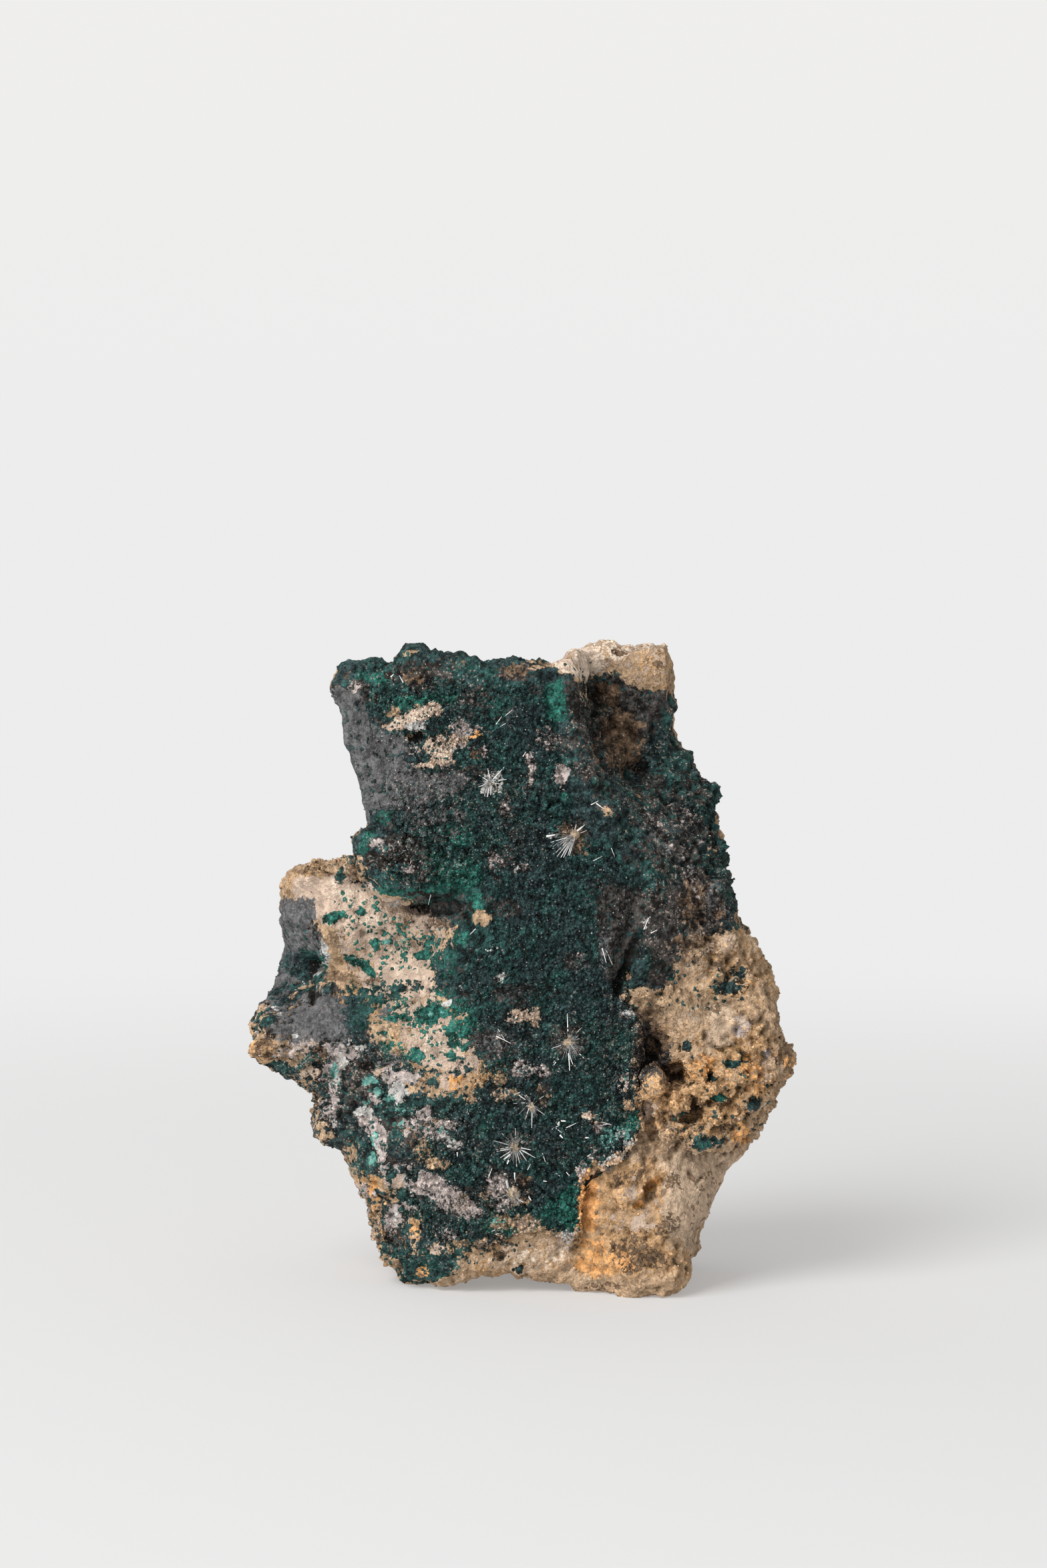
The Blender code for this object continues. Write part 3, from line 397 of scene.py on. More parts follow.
        (945, 1518, 12, 3, 0.8), (738, 1172, 18, 20, 0.55), (728, 1188, 10, 6, 0.8), (690, 1482, 8, 5, 0.5),
        (672, 1502, 10, 5, 0.6, -20), (750, 1466, 9, 6, 0.6), (968, 1385, 4, 16, 0.6, 20),
        (930, 1700, 10, 6, 0.5), (850, 1852, 8, 10, 0.5), (750, 1424, 26, 1.6, 0.5, -2),
        (540, 1570, 10, 5, 0.5), (832, 1252, 9, 3, 1.0, -5), (780, 1645, 9, 4, 0.5, -30),
        (505, 1592, 4, 15, 0.6, 10), (600, 1644, 9, 13, 0.7), (672, 1708, 5, 16, 0.9, -45),
        (565, 1716, 4, 14, 0.7, -10),
    ),
    # Painted shade: dark patches in the recesses, grooves and hollows and under the green lobe, where shadow
    # falls
    "dark": (
        (585, 1014, 12, 12, 0.7), (648, 996, 12, 7, 0.8), (640, 1024, 10, 10, 0.5), (560, 1045, 6, 18, 0.6),
        (618, 1105, 9, 8, 1.0), (628, 1103, 12, 5, 0.8), (655, 1100, 6, 12, 0.6), (870, 1050, 18, 36, 0.7),
        (940, 1048, 20, 12, 0.3), (952, 1152, 16, 18, 0.57), (890, 1090, 10, 40, 0.3, 10),
        (600, 1288, 26, 9, 0.7), (575, 1292, 12, 12, 1.0), (630, 1302, 10, 6, 0.7), (628, 1356, 14, 8, 0.75),
        (472, 1446, 12, 9, 1.0), (467, 1496, 4, 10, 0.9), (466, 1392, 5, 12, 0.6), (545, 1599, 12, 9, 1.0),
        (640, 1340, 40, 4, 0.8, 2), (765, 1365, 12, 10, 0.5), (940, 1450, 8, 40, 0.8, 20),
        (925, 1400, 30, 80, 0.35), (960, 1340, 30, 30, 0.3), (790, 1490, 50, 14, 0.4),
        (800, 1430, 60, 40, 0.2), (705, 1365, 6, 16, 0.6), (702, 1380, 8, 10, 0.6), (585, 1850, 8, 10, 0.6),
        (1135, 1652, 10, 10, 0.38), (550, 1325, 30, 5, 0.5, 15), (1095, 1485, 20, 5, 0.5),
        (900, 1180, 14, 20, 0.4), (974, 1350, 20, 24, 0.5), (784, 1508, 16, 10, 0.6),
        (556, 1288, 18, 12, 0.7), (878, 1158, 13, 12, 0.6),
    ),
    "haze": (
        (1040, 1540, 40, 40, 0.25), (985, 990, 14, 26, 0.5), (1150, 1600, 20, 30, 0.5),
        (1060, 1450, 40, 16, 0.3), (1040, 1430, 30, 10, 0.4), (790, 1885, 80, 26, 0.6, -8),
        (850, 1880, 40, 20, 0.5), (1040, 1620, 60, 50, 0.1),
    ),
    "ochre": (
        (1040, 1650, 90, 60, 0.85), (1120, 1600, 50, 60, 0.75), (1090, 1460, 50, 40, 0.45),
        (700, 1610, 60, 26, 0.5), (760, 1890, 70, 22, 0.5, -8), (560, 1780, 30, 20, 0.6),
        (540, 1500, 50, 30, 0.3), (900, 1880, 50, 34, 0.9), (980, 1790, 40, 30, 0.6, -30),
        (400, 1575, 30, 20, 0.5), (1000, 1890, 50, 20, 0.5), (655, 1600, 40, 30, 0.35),
        (600, 1545, 34, 13, 0.5, -20), (550, 1790, 14, 40, 0.7, -20), (626, 1842, 16, 22, 0.7),
        (640, 1895, 26, 12, 0.6), (800, 1885, 70, 24, 0.45, -6), (975, 995, 30, 22, 0.6),
        (620, 1780, 20, 14, 0.4), (580, 1860, 30, 20, 0.4), (930, 1770, 40, 34, 0.8),
    ),
    "green_specks": (
        (600, 1412, 64, 24, 0.55), (545, 1365, 44, 44, 0.25), (575, 1492, 52, 24, 0.55),
        (640, 1525, 56, 16, 0.6), (600, 1450, 70, 44, 0.2), (665, 1585, 64, 50, 0.25),
        (540, 1520, 34, 44, 0.5), (620, 1845, 130, 70, 0.2), (650, 1110, 70, 50, 0.22),
        (745, 1625, 64, 40, 0.5), (1040, 1480, 80, 34, 0.14), (1080, 1650, 80, 70, 0.12),
        (455, 1612, 60, 22, 0.5, 20), (700, 1870, 90, 24, 0.2), (560, 1700, 90, 70, 0.35),
        (400, 1580, 40, 26, 0.2), (880, 1030, 60, 40, 0.15), (640, 1200, 80, 30, 0.3),
        (600, 1290, 80, 40, 0.4), (1000, 1200, 90, 100, 0.35),
    ),
    "pale_specks": (
        (600, 1700, 140, 90, 0.1), (680, 1840, 130, 60, 0.12), (560, 1610, 70, 50, 0.18),
        (760, 1570, 50, 40, 0.08), (1000, 1180, 80, 90, 0.1, 30), (1035, 1320, 70, 80, 0.15),
        (620, 1290, 90, 40, 0.12), (880, 1560, 70, 60, 0.07), (760, 1240, 60, 60, 0.06),
        (640, 1030, 120, 40, 0.08), (930, 1600, 30, 100, 0.18), (700, 1180, 120, 30, 0.1),
        (850, 1700, 90, 60, 0.05), (1020, 1420, 60, 50, 0.13), (460, 1600, 80, 40, 0.17),
        (890, 1110, 50, 60, 0.1),
    ),
    # Painted light: lighter cream on the pale crust where it is brightly lit, and over a facet of the cap
    # that would otherwise lie in shade
    "chalk": (
        (520, 1342, 34, 14, 0.45, 20), (612, 1458, 34, 16, 0.4, 20), (650, 1570, 30, 16, 0.4, 30),
        (602, 1083, 22, 8, 0.5, -12), (630, 1069, 20, 9, 0.5, -25), (664, 1128, 16, 14, 0.5),
        (800, 1880, 60, 14, 0.4, -6), (560, 1640, 30, 20, 0.3), (880, 1000, 26, 13, 0.9),
        (560, 1384, 20, 14, 0.6),
    ),
}

# Hollows and lumps that stand out by themselves, in the same form, with their depth or height in
# millimetres in place of the strength
HOLLOWS = (
    (656, 1358, 44, 14, 1.1), (622, 1105, 13, 8, 1.3), (952, 1154, 18, 18, 1.3), (942, 1440, 10, 50, 1.2, 20),
    (1010, 1613, 19, 18, 0.8), (1034, 1672, 15, 11, 0.4), (1018, 1648, 7, 8, 0.8),
    (982, 1780, 24, 12, 0.7, -45), (470, 1446, 14, 11, 1.3), (863, 1866, 12, 14, 0.4, 20),
    (870, 1048, 18, 34, 0.4), (1056, 1551, 4, 10, 1.0), (1102, 1548, 3, 16, 0.8), (547, 1598, 11, 8, 1.0),
    (890, 1095, 11, 40, 0.66, 5), (600, 1290, 30, 7, 0.9), (1045, 1690, 6, 5, 0.9),
    (1078, 1693, 14, 4, 0.8, -25), (1064, 1610, 4, 9, 0.9), (1138, 1622, 3, 20, 0.8), (606, 1482, 6, 6, 0.7),
    (748, 1880, 10, 8, 0.5), (467, 1496, 4, 10, 0.6), (1049, 1766, 12, 1.8, 0.45, -48),
    (1083, 1742, 12, 1.6, 0.4, -30), (1033, 1757, 4, 3, 0.5), (958, 1806, 10, 7, 0.6),
    (704, 1376, 7, 14, 0.9), (585, 1850, 9, 12, 0.8), (975, 1560, 14, 44, 0.4), (1018, 1712, 4, 12, 0.6, 20),
    (1048, 1160, 20, 34, 0.9, 30), (1084, 1225, 18, 44, 0.9, 15), (1112, 1385, 14, 40, 0.8, 10),
    (545, 1222, 10, 30, 0.8), (578, 985, 16, 12, 1.0), (895, 955, 14, 9, 0.7), (988, 955, 14, 10, 0.8),
    (1020, 1092, 14, 28, 1.0), (690, 966, 60, 10, 0.5), (520, 984, 30, 10, 1.0), (812, 988, 30, 14, 0.9),
    (1052, 1868, 18, 40, 0.6), (508, 1090, 14, 40, 0.6),
)
LUMPS = (
    (978, 1625, 17, 20, 1.6), (995, 1840, 12, 12, 0.6), (1078, 1606, 11, 10, 1.2), (1101, 1610, 16, 14, 1.2),
    (1122, 1606, 16, 18, 0.9), (1091, 1415, 14, 17, 1.0), (909, 1213, 15, 9, 1.1, 20), (490, 1484, 9, 9, 0.7),
    (880, 1673, 9, 8, 0.9), (894, 1675, 6, 6, 0.8), (941, 1655, 10, 7, 0.8), (813, 1794, 7, 5, 0.6),
    (777, 1902, 9, 8, 0.6), (850, 1091, 9, 7, 0.6), (836, 1170, 8, 8, 0.5), (831, 1190, 9, 9, 0.8),
    (846, 1196, 9, 9, 0.8), (838, 1213, 9, 9, 0.7), (861, 1225, 9, 9, 0.6), (722, 1376, 12, 13, 0.9),
    (1063, 1716, 9, 9, 0.9), (1044, 1714, 8, 8, 0.8), (1077, 1710, 8, 8, 0.8), (1034, 1712, 6, 5, 0.6),
    (950, 1490, 20, 9, 0.8, -5), (620, 978, 20, 9, 0.6), (940, 1788, 22, 11, 0.9), (1018, 1648, 15, 16, 0.8),
    (1052, 1630, 10, 7, 0.7), (1046, 1604, 16, 12, 0.8), (1075, 1460, 7, 8, 0.7), (1072, 1479, 5, 5, 0.6),
    (541, 1013, 8, 8, 0.6), (550, 1262, 14, 20, 0.8, 20), (616, 1261, 6, 5, 0.5), (636, 1213, 7, 5, 0.5),
    (767, 1640, 11, 9, 0.6), (747, 1618, 9, 8, 0.5), (1070, 1703, 10, 5, 0.7), (648, 1742, 12, 8, 0.5),
    (670, 1872, 9, 9, 0.6), (690, 1862, 12, 8, 0.5), (1132, 1632, 12, 12, 0.6), (872, 1754, 11, 13, 0.4),
    (915, 1042, 13, 14, 1.1), (936, 1080, 14, 12, 1.0), (925, 1112, 16, 18, 1.1), (948, 1130, 14, 14, 0.9),
    (900, 1085, 10, 14, 0.8), (960, 1085, 12, 16, 0.9), (975, 1050, 12, 14, 0.9), (905, 1135, 12, 10, 0.8),
    (990, 1110, 12, 18, 0.8), (880, 1060, 9, 12, 0.7), (1000, 1165, 18, 12, 0.8, 35),
    (1040, 1200, 18, 12, 0.8, 35), (970, 1200, 22, 9, 0.7, 35), (1000, 1240, 24, 9, 0.8, 40),
    (1045, 1275, 24, 10, 0.9, 45), (1075, 1320, 14, 16, 0.8),
)

# Ground that is knobbly, botryoidal or smooth, in the same form, with its strength
NODULAR_GROUND = (
    (1040, 1650, 100, 76, 1.0), (1120, 1590, 60, 70, 0.8), (1100, 1450, 50, 40, 0.6),
    (1060, 1370, 40, 60, 0.5), (975, 1495, 50, 20, 0.6), (500, 1300, 60, 16, 0.6),
    (480, 1640, 60, 60, 0.6, 20), (1060, 1250, 50, 80, 0.6), (620, 1850, 110, 60, 0.5),
    (980, 1880, 60, 30, 0.3), (400, 1570, 40, 30, 0.5),
)
BOTRYOIDAL_GROUND = (
    (620, 1010, 130, 44, 1.0), (620, 1285, 95, 60, 1.0), (780, 1010, 80, 24, 0.8), (838, 1190, 30, 44, 0.8),
    (1000, 1150, 70, 90, 0.6, 30), (690, 1430, 24, 80, 0.7), (640, 1700, 120, 110, 0.5),
    (800, 1780, 120, 80, 0.5), (560, 1490, 70, 60, 0.3), (930, 1560, 30, 60, 0.5), (925, 1090, 80, 80, 0.9),
    (1015, 1260, 100, 120, 0.8),
)
SMOOTH_GROUND = (
    (560, 1130, 70, 76, 1.0, -15), (640, 1180, 50, 20, 0.8), (490, 1520, 50, 44, 1.0),
    (930, 1400, 40, 84, 0.9), (1045, 1535, 56, 44, 0.8), (600, 1452, 50, 26, 0.9), (1060, 1790, 60, 80, 0.9),
    (440, 1400, 28, 50, 0.8), (500, 1340, 70, 26, 0.9), (650, 1575, 44, 34, 0.7), (880, 990, 50, 24, 0.9),
    (960, 1000, 46, 36, 0.9), (735, 1562, 30, 24, 0.7), (655, 1788, 50, 26, 0.6, 30),
)

# The crust's open edge, which shows as a step, in the same form
OPEN_EDGE = (
    (935, 1600, 60, 130, 1.0), (880, 1780, 60, 90, 1.0, 20), (800, 1850, 90, 40, 0.6, -15),
)

# The minerals of the skin, from the lowest layer up: (name, edge pattern, how dark its dark grains are, how
# light its light ones, roughness, height of its grains, which also sets how much painted shade fills the
# creases between them). The chalk layer is partly painted light, and the dark layer is painted shade on the
# front.
SKIN_LAYERS = (
    ("umber", "Edge B", 0.30, 2.10, 0.85, 0.70),
    ("ochre", "Edge A", 0.60, 1.20, 0.88, 0.50),
    ("haze", "Edge C", 0.72, 1.22, 0.88, 0.12),
    ("cream", "Edge A", 0.74, 1.16, 0.90, 0.20),
    ("chalk", "Edge B", 0.80, 1.10, 0.92, 0.15),
    ("lilac", "Edge C", 0.58, 1.25, 0.85, 0.40),
    ("brown", "Edge D", 0.36, 1.75, 0.92, 0.60),
    ("rust", "Edge C", 0.74, 1.22, 0.88, 0.35),
    ("grey", "Edge D", 0.50, 1.50, 0.75, 0.30),
    ("malachite", "Edge B", 0.17, 2.45, 0.62, 1.00),
    ("bright", "Edge A", 0.26, 1.90, 0.66, 0.90),
    ("teal", "Edge C", 0.55, 1.35, 0.80, 0.50),
    ("white", "Edge D", 0.60, 1.20, 0.45, 0.60),
    ("dark", "Edge A", 0.30, 1.60, 0.90, 0.40),
)

# The sprays, each at the pixel where its needles start: (x, y, reach in millimetres, needles, how far they
# lift off the crust, the way they lean in degrees from the right, how many degrees round they spread,
# radius of the core in millimetres)
SPRAYS = (
    (732, 1174, 1.9, 34, 0.75, 265, 360, 0.24), (860, 1251, 3.3, 70, 0.45, 215, 90, 0.72),
    (851, 1560, 3.0, 130, 0.35, 270, 360, 0.88), (772, 1717, 3.2, 130, 0.4, 200, 360, 0.85),
    (768, 1787, 2.0, 90, 0.45, 300, 360, 0.88), (796, 1658, 2.2, 70, 0.35, 0, 360, 0.56),
)

# Single bright needles, from root to tip in the photograph's pixels, with their thickness in mm. Those of a
# spray come under its number, and those that lie loose on the crust under 0.
BRIGHT_NEEDLES = {
    0: (
        (731, 1764, 736, 1751, 0.18), (783, 1133, 790, 1127, 0.16), (685, 1727, 688, 1734, 0.2),
        (836, 1684, 840, 1676, 0.39), (840, 1679, 846, 1678, 0.31), (839, 1701, 845, 1702, 0.28),
        (878, 1705, 884, 1705, 0.28), (897, 1686, 912, 1681, 0.15), (900, 1680, 914, 1684, 0.14),
        (848, 1690, 862, 1680, 0.14), (826, 1692, 838, 1688, 0.12), (832, 1690, 842, 1697, 0.12),
        (819, 1253, 832, 1250, 0.34), (833, 1758, 840, 1762, 0.15), (814, 1769, 818, 1768, 0.2),
        (770, 1757, 772, 1764, 0.22), (758, 1768, 763, 1780, 0.22), (775, 1640, 784, 1648, 0.2),
        (770, 1640, 778, 1638, 0.16), (743, 1552, 764, 1562, 0.14), (745, 1540, 757, 1556, 0.11),
        (902, 1420, 906, 1441, 0.16), (908, 1424, 914, 1444, 0.14), (712, 1392, 704, 1400, 0.16),
        (743, 1085, 752, 1075, 0.14), (757, 1072, 768, 1064, 0.11), (747, 1090, 756, 1084, 0.12),
        (888, 1290, 900, 1282, 0.1), (915, 1270, 922, 1284, 0.1), (880, 1732, 888, 1728, 0.14),
        (735, 1845, 748, 1838, 0.16), (738, 1850, 746, 1848, 0.14), (645, 1340, 640, 1352, 0.11),
        (604, 1022, 600, 1012, 0.2), (586, 1014, 590, 1011, 0.25), (848, 1756, 853, 1762, 0.14),
        (812, 1728, 818, 1738, 0.18), (790, 1752, 794, 1742, 0.16), (965, 1392, 970, 1376, 0.16),
        (975, 1398, 984, 1392, 0.14), (893, 1204, 904, 1212, 0.18), (885, 1206, 898, 1203, 0.14),
    ),
    1: (
        (731, 1176, 723, 1191, 0.25), (733, 1178, 730, 1192, 0.22), (735, 1176, 736, 1190, 0.2),
        (738, 1168, 754, 1150, 0.15), (738, 1170, 756, 1168, 0.15), (737, 1172, 750, 1176, 0.14),
        (734, 1166, 728, 1152, 0.14), (731, 1170, 719, 1162, 0.16), (730, 1174, 718, 1178, 0.16),
        (742, 1172, 747, 1180, 0.22),
    ),
    2: (
        (857, 1250, 828, 1266, 0.16), (857, 1252, 829, 1270, 0.15), (857, 1253, 832, 1276, 0.16),
        (858, 1254, 834, 1282, 0.19), (858, 1254, 841, 1283, 0.2), (859, 1255, 846, 1285, 0.16),
        (859, 1256, 850, 1281, 0.15), (860, 1256, 855, 1282, 0.18), (858, 1252, 826, 1262, 0.14),
        (862, 1248, 876, 1235, 0.15), (861, 1247, 871, 1237, 0.16), (860, 1246, 864, 1234, 0.12),
        (864, 1250, 879, 1243, 0.12), (857, 1248, 842, 1246, 0.11),
    ),
    3: (
        (852, 1578, 857, 1604, 0.25), (853, 1580, 859, 1598, 0.18), (851, 1545, 851, 1520, 0.18),
        (838, 1578, 829, 1591, 0.16), (836, 1586, 832, 1595, 0.16), (868, 1578, 875, 1586, 0.16),
        (838, 1554, 826, 1548, 0.11), (862, 1548, 872, 1538, 0.11), (840, 1566, 824, 1572, 0.11),
    ),
    4: (
        (766, 1717, 739, 1711, 0.22), (764, 1719, 744, 1720, 0.16), (764, 1721, 744, 1727, 0.22),
        (766, 1724, 750, 1734, 0.16), (764, 1730, 752, 1738, 0.31), (762, 1736, 758, 1746, 0.29),
        (772, 1724, 773, 1746, 0.15), (774, 1724, 776, 1742, 0.14), (780, 1722, 801, 1731, 0.16),
        (780, 1719, 798, 1722, 0.15), (780, 1712, 796, 1700, 0.14), (778, 1724, 788, 1738, 0.14),
        (765, 1711, 752, 1700, 0.14), (772, 1708, 770, 1692, 0.12), (779, 1710, 790, 1696, 0.12),
    ),
    5: (
        (776, 1796, 781, 1804, 0.28), (778, 1798, 776, 1806, 0.18), (792, 1793, 796, 1797, 0.25),
        (762, 1778, 758, 1764, 0.2), (790, 1782, 794, 1794, 0.15), (758, 1790, 748, 1796, 0.11),
        (770, 1776, 774, 1764, 0.11),
    ),
    6: (
        (790, 1655, 777, 1667, 0.11), (792, 1660, 786, 1676, 0.14), (797, 1664, 797, 1690, 0.15),
        (800, 1652, 815, 1642, 0.1), (802, 1660, 816, 1668, 0.11), (794, 1650, 786, 1640, 0.11),
        (788, 1652, 770, 1650, 0.11),
    ),
}

# The same minerals as clouds on the sides and back, which the photograph doesn't show: (strength, noise
# level where the cloud starts, level where it is full, size of its swells in mm, detail, shift)
CLOUDS = {
    "cream": (0.8, 0.10, 0.80, 16, 4, 2.0),
    "umber": (0.7, 0.15, 0.75, 12, 4, 5.0),
    "brown": (0.6, 0.10, 0.80, 7, 4, 6.0),
    "rust": (0.6, 0.25, 0.85, 12, 4, 9.0),
    "ochre": (0.8, 0.0, 0.60, 9, 4, 31.0),
    "haze": (0.9, -0.1, 0.60, 11, 4, 13.0),
    "malachite": (0.8, 0.25, 0.70, 13, 5, 17.0),
    # On the hidden sides the dark layer is a dark coating; on the front it is painted shade
    "dark": (0.5, 0.35, 0.80, 6, 4, 21.0),
}

# How soft the edges are: of the patches, as a share of their size, and of the malachite ground and the bare
# field, in pixels
PATCH_SOFTNESS = 0.32
GROUND_SOFTNESS = 7.0
FIELD_SOFTNESS = 9.0

# How far behind the nearest surface a point still counts as seen, and from where on it counts as hidden
SEEN_DEPTH = 2.5 * MM
HIDDEN_DEPTH = 7.0 * MM

# Sizes in the relief: wide and small swells, grains, large and small domes, and the crags of the hidden sides
WIDE_SWELL = 5.0 * MM
SMALL_SWELL = 1.5 * MM
GRAIN_SIZE = 0.72 * MM
LARGE_DOME = 2.8 * MM
SMALL_DOME = 1.3 * MM
CRAG_SIZE = 9.0 * MM
CRAG_HEIGHT = 0.8 * MM

# Relief that the rock and the crust borrow from each other: the rock's velvet and botryoids, and the
# crust's roughness and nodules
ROCK_VELVET = 0.10 * MM
ROCK_BOTRYOIDS = 0.5 * MM
CRUST_ROUGHNESS = 0.42 * MM
CRUST_NODULES = 0.5 * MM

# How far the crust's parts stand off the rock: where the wall of its edge starts and ends, where its
# hidden back ends, and where its triangles are thinned out most and where they are kept
WALL_START = 0.7 * MM
WALL_END = 1.4 * MM
BACK_END = 0.6 * MM
THINNED_BELOW = 0.45 * MM
KEPT_ABOVE = 0.75 * MM

# How near the crust's hidden edge the rock swells up to it and how high, how near that edge the crust sinks
# in, how close the crust lies to rock that it covers, and the mesh spacing of a crust that is only measured
SWELL_REACH = 7.0 * MM
SWELL_HEIGHT = 1.4 * MM
SINK_REACH = 4.5 * MM
COVER_GAP = 0.8 * MM
TRIAL_SPACING = 0.45 * MM

# Loose grains: how many each piece has, and their least and greatest size
MALACHITE_GRAINS = 9400
MALACHITE_GRAIN_SIZES = (0.24 * MM, 0.62 * MM)
LIMONITE_GRAINS = 6000
LIMONITE_GRAIN_SIZES = (0.20 * MM, 0.52 * MM)

# The needles' materials: (name, how far light passes through, least and greatest brightness)
NEEDLE_MATERIALS = (
    ("clear_hemimorphite", 0.5, 0.40, 0.85),
    ("white_hemimorphite", 0.1, 0.95, 1.08),
)

# The stage's soft lights: (name, place in metres, width in metres, the setting that holds its power)
LIGHTS = (
    ("key_light", (-0.80, -0.90, 1.20), 0.9, "key_power"),
    ("fill_light", (-0.90, -1.30, 0.25), 1.0, "fill_power"),
    ("back_light", (-0.90, 1.20, 0.30), 1.0, "back_power"),
)


def small_size(name, description, default, most, least=0.0):
    """A size on the specimen as a setting, given in millimetres."""
    return FloatProperty(name=name, description=description, default=default * MM, min=least * MM,
                         max=most * MM, precision=5, unit="LENGTH", subtype="DISTANCE")


def stage_size(name, description, default, most):
    """A size of the stage as a setting, given in metres."""
    return FloatProperty(name=name, description=description, default=default, min=0.2, max=most,
                         unit="LENGTH", subtype="DISTANCE")


def tint(name, description, default):
    """A colour as a setting."""
    return FloatVectorProperty(name=name, description=description, default=default, size=3,
                               min=0.0, max=1.0, subtype="COLOR")


def watts(name, description, default):
    """A light's power as a setting, in watts."""
    return FloatProperty(name=name, description=description, default=default, min=0.0, unit="POWER")


def brightness(name, description, default, most):
    """A brightness as a setting."""
    return FloatProperty(name=name, description=description, default=default, min=0.0, max=most)


def triangle_limit(description):
    """A piece's most triangles as a setting."""
    return IntProperty(name="Triangles", description=description, default=185000, min=20000, max=199000)


class RockSettings(bpy.types.PropertyGroup):
    """Sizes and colours of the limonite matrix."""

    spacing: small_size("Mesh spacing", "Distance between the points of the rock's fine mesh", 0.34, 2, 0.2)
    relief: small_size("Relief", "Height of the rock's broken surface", 0.60, 2)
    nodules: small_size("Nodules", "Height of the nodules on knobbly ground", 1.45, 3)
    triangles: triangle_limit("Most triangles that the finished rock keeps")
    tan: tint("Tan limonite", "Colour of the bare matrix", (0.53, 0.362, 0.225))
    cream: tint("Cream coating", "Colour of the pale pinkish coating", (0.64, 0.485, 0.375))
    # Painted light: a lighter copy of the pale cream crust, for its brightly lit parts
    chalk: tint("Chalky crust", "Colour of the palest cream crust on the cap", (0.86, 0.70, 0.55))
    lilac: tint("Lilac coating", "Colour of the dull greyish pink coating", (0.60, 0.510, 0.475))
    brown: tint("Brown limonite", "Colour of the dark earthy matrix", (0.17, 0.110, 0.068))
    rust: tint("Rust", "Colour of the orange iron stains", (0.92, 0.470, 0.185))
    ochre: tint("Ochre", "Colour of the warm orange-tan limonite", (0.74, 0.455, 0.235))
    umber: tint("Umber", "Colour of the dark brownish ground under the malachite", (0.064, 0.057, 0.052))
    haze: tint("Greyish planes", "Colour of the smooth greyish tan planes", (0.60, 0.440, 0.305))
    grey: tint("Grey plates", "Colour of the smooth grey plates", (0.125, 0.122, 0.122))
    # Painted shade: on the front this colour darkens the grooves, hollows and recesses where shadow falls,
    # and on the hidden sides it is a dark coating
    dark: tint("Dark hollows", "Colour of the black coating in the hollows", (0.034, 0.028, 0.023))


class CrustSettings(bpy.types.PropertyGroup):
    """Sizes and colours of the malachite crust."""

    spacing: small_size("Mesh spacing", "Distance between the points of the crust's fine mesh", 0.25, 2, 0.15)
    velvet: small_size("Velvet", "Height of the crust's fine granular relief", 0.26, 1)
    botryoids: small_size("Botryoids", "Height of the rounded lumps where the crust is botryoidal", 1.25, 2)
    tuck: small_size("Tuck", "How far the crust's hidden edges sink into the rock", 2.3, 5)
    triangles: triangle_limit("Most triangles that the finished crust keeps")
    malachite: tint("Malachite", "Colour of the dark velvety malachite", (0.023, 0.066, 0.060))
    slate: tint("Slate malachite", "Colour of the bluish, nearly black malachite", (0.028, 0.046, 0.049))
    bright: tint("Bright malachite", "Colour of the brighter green malachite", (0.033, 0.168, 0.130))
    teal: tint("Chalky coating", "Colour of the chalky blue-green coating", (0.17, 0.43, 0.37))
    # Also the colour, at 0.8, of the painted glints on the skin
    white: tint("White coating", "Colour of the thin white hemimorphite coating", (0.62, 0.61, 0.58))


class NeedleSettings(bpy.types.PropertyGroup):
    """Sizes and colours of the hemimorphite needles."""

    thickness: small_size("Needle thickness", "Diameter of a needle at its root", 0.065, 1, 0.02)
    crystal: tint("Crystal", "Colour of the hemimorphite", (0.92, 0.92, 0.90))
    core: tint("Core", "Colour of the stained core where the needles start", (0.46, 0.35, 0.24))


class StageSettings(bpy.types.PropertyGroup):
    """Sizes, light and camera of the studio stage."""

    distance: stage_size("Camera distance", "Distance from the camera to the specimen's middle", 0.620, 5.0)
    elevation: FloatProperty(
        name="Camera elevation", description="How far the camera looks down",
        default=math.radians(6.5), min=0.0, max=1.5, unit="ROTATION", subtype="ANGLE")
    floor_radius: stage_size(
        "Floor radius", "Radius of the pale floor, which fades out towards its edge", 0.42, 10.0)
    floor: tint("Floor", "Colour of the floor", (0.47, 0.47, 0.47))
    floor_glow: brightness(
        "Floor glow", "Light that the floor gives off itself, so that shadows stay pale", 0.27, 1.0)
    key_power: watts("Key light", "Power of the large soft light on the left", 21.0)
    fill_power: watts("Fill light", "Power of the low soft light in front", 11.0)
    back_power: watts(
        "Back light", "Power of the low soft light behind, which reaches under the stone", 3.0)
    surround: brightness("Surround", "Brightness of the white studio around the specimen", 0.52, 5.0)


class SpecimenSettings(bpy.types.PropertyGroup):
    """All that a user would change on the specimen."""

    rock: PointerProperty(type=RockSettings)
    crust: PointerProperty(type=CrustSettings)
    needles: PointerProperty(type=NeedleSettings)
    stage: PointerProperty(type=StageSettings)


def settings():
    """The specimen's settings on the current scene."""
    return bpy.context.scene.specimen


def camera_place():
    """The camera's location and rotation at the photograph's angle."""
    stage = settings().stage
    back = Vector((0.0, -math.cos(stage.elevation), math.sin(stage.elevation)))
    location = MIDDLE + back * stage.distance
    turn = (CAMERA_AIM - location).to_track_quat("-Z", "Y")
    return location, turn


def photo_pixels(points):
    """Where points of the object fall in the photograph's frame, in pixels."""
    location, turn = camera_place()
    local = (points - np.array(location)) @ np.array(turn.to_matrix())
    across = PHOTO_WIDTH / 2 - local[:, 0] / local[:, 2] * PHOTO_SCALE
    down = PHOTO_HEIGHT / 2 + local[:, 1] / local[:, 2] * PHOTO_SCALE
    return np.stack((across, down), axis=1)


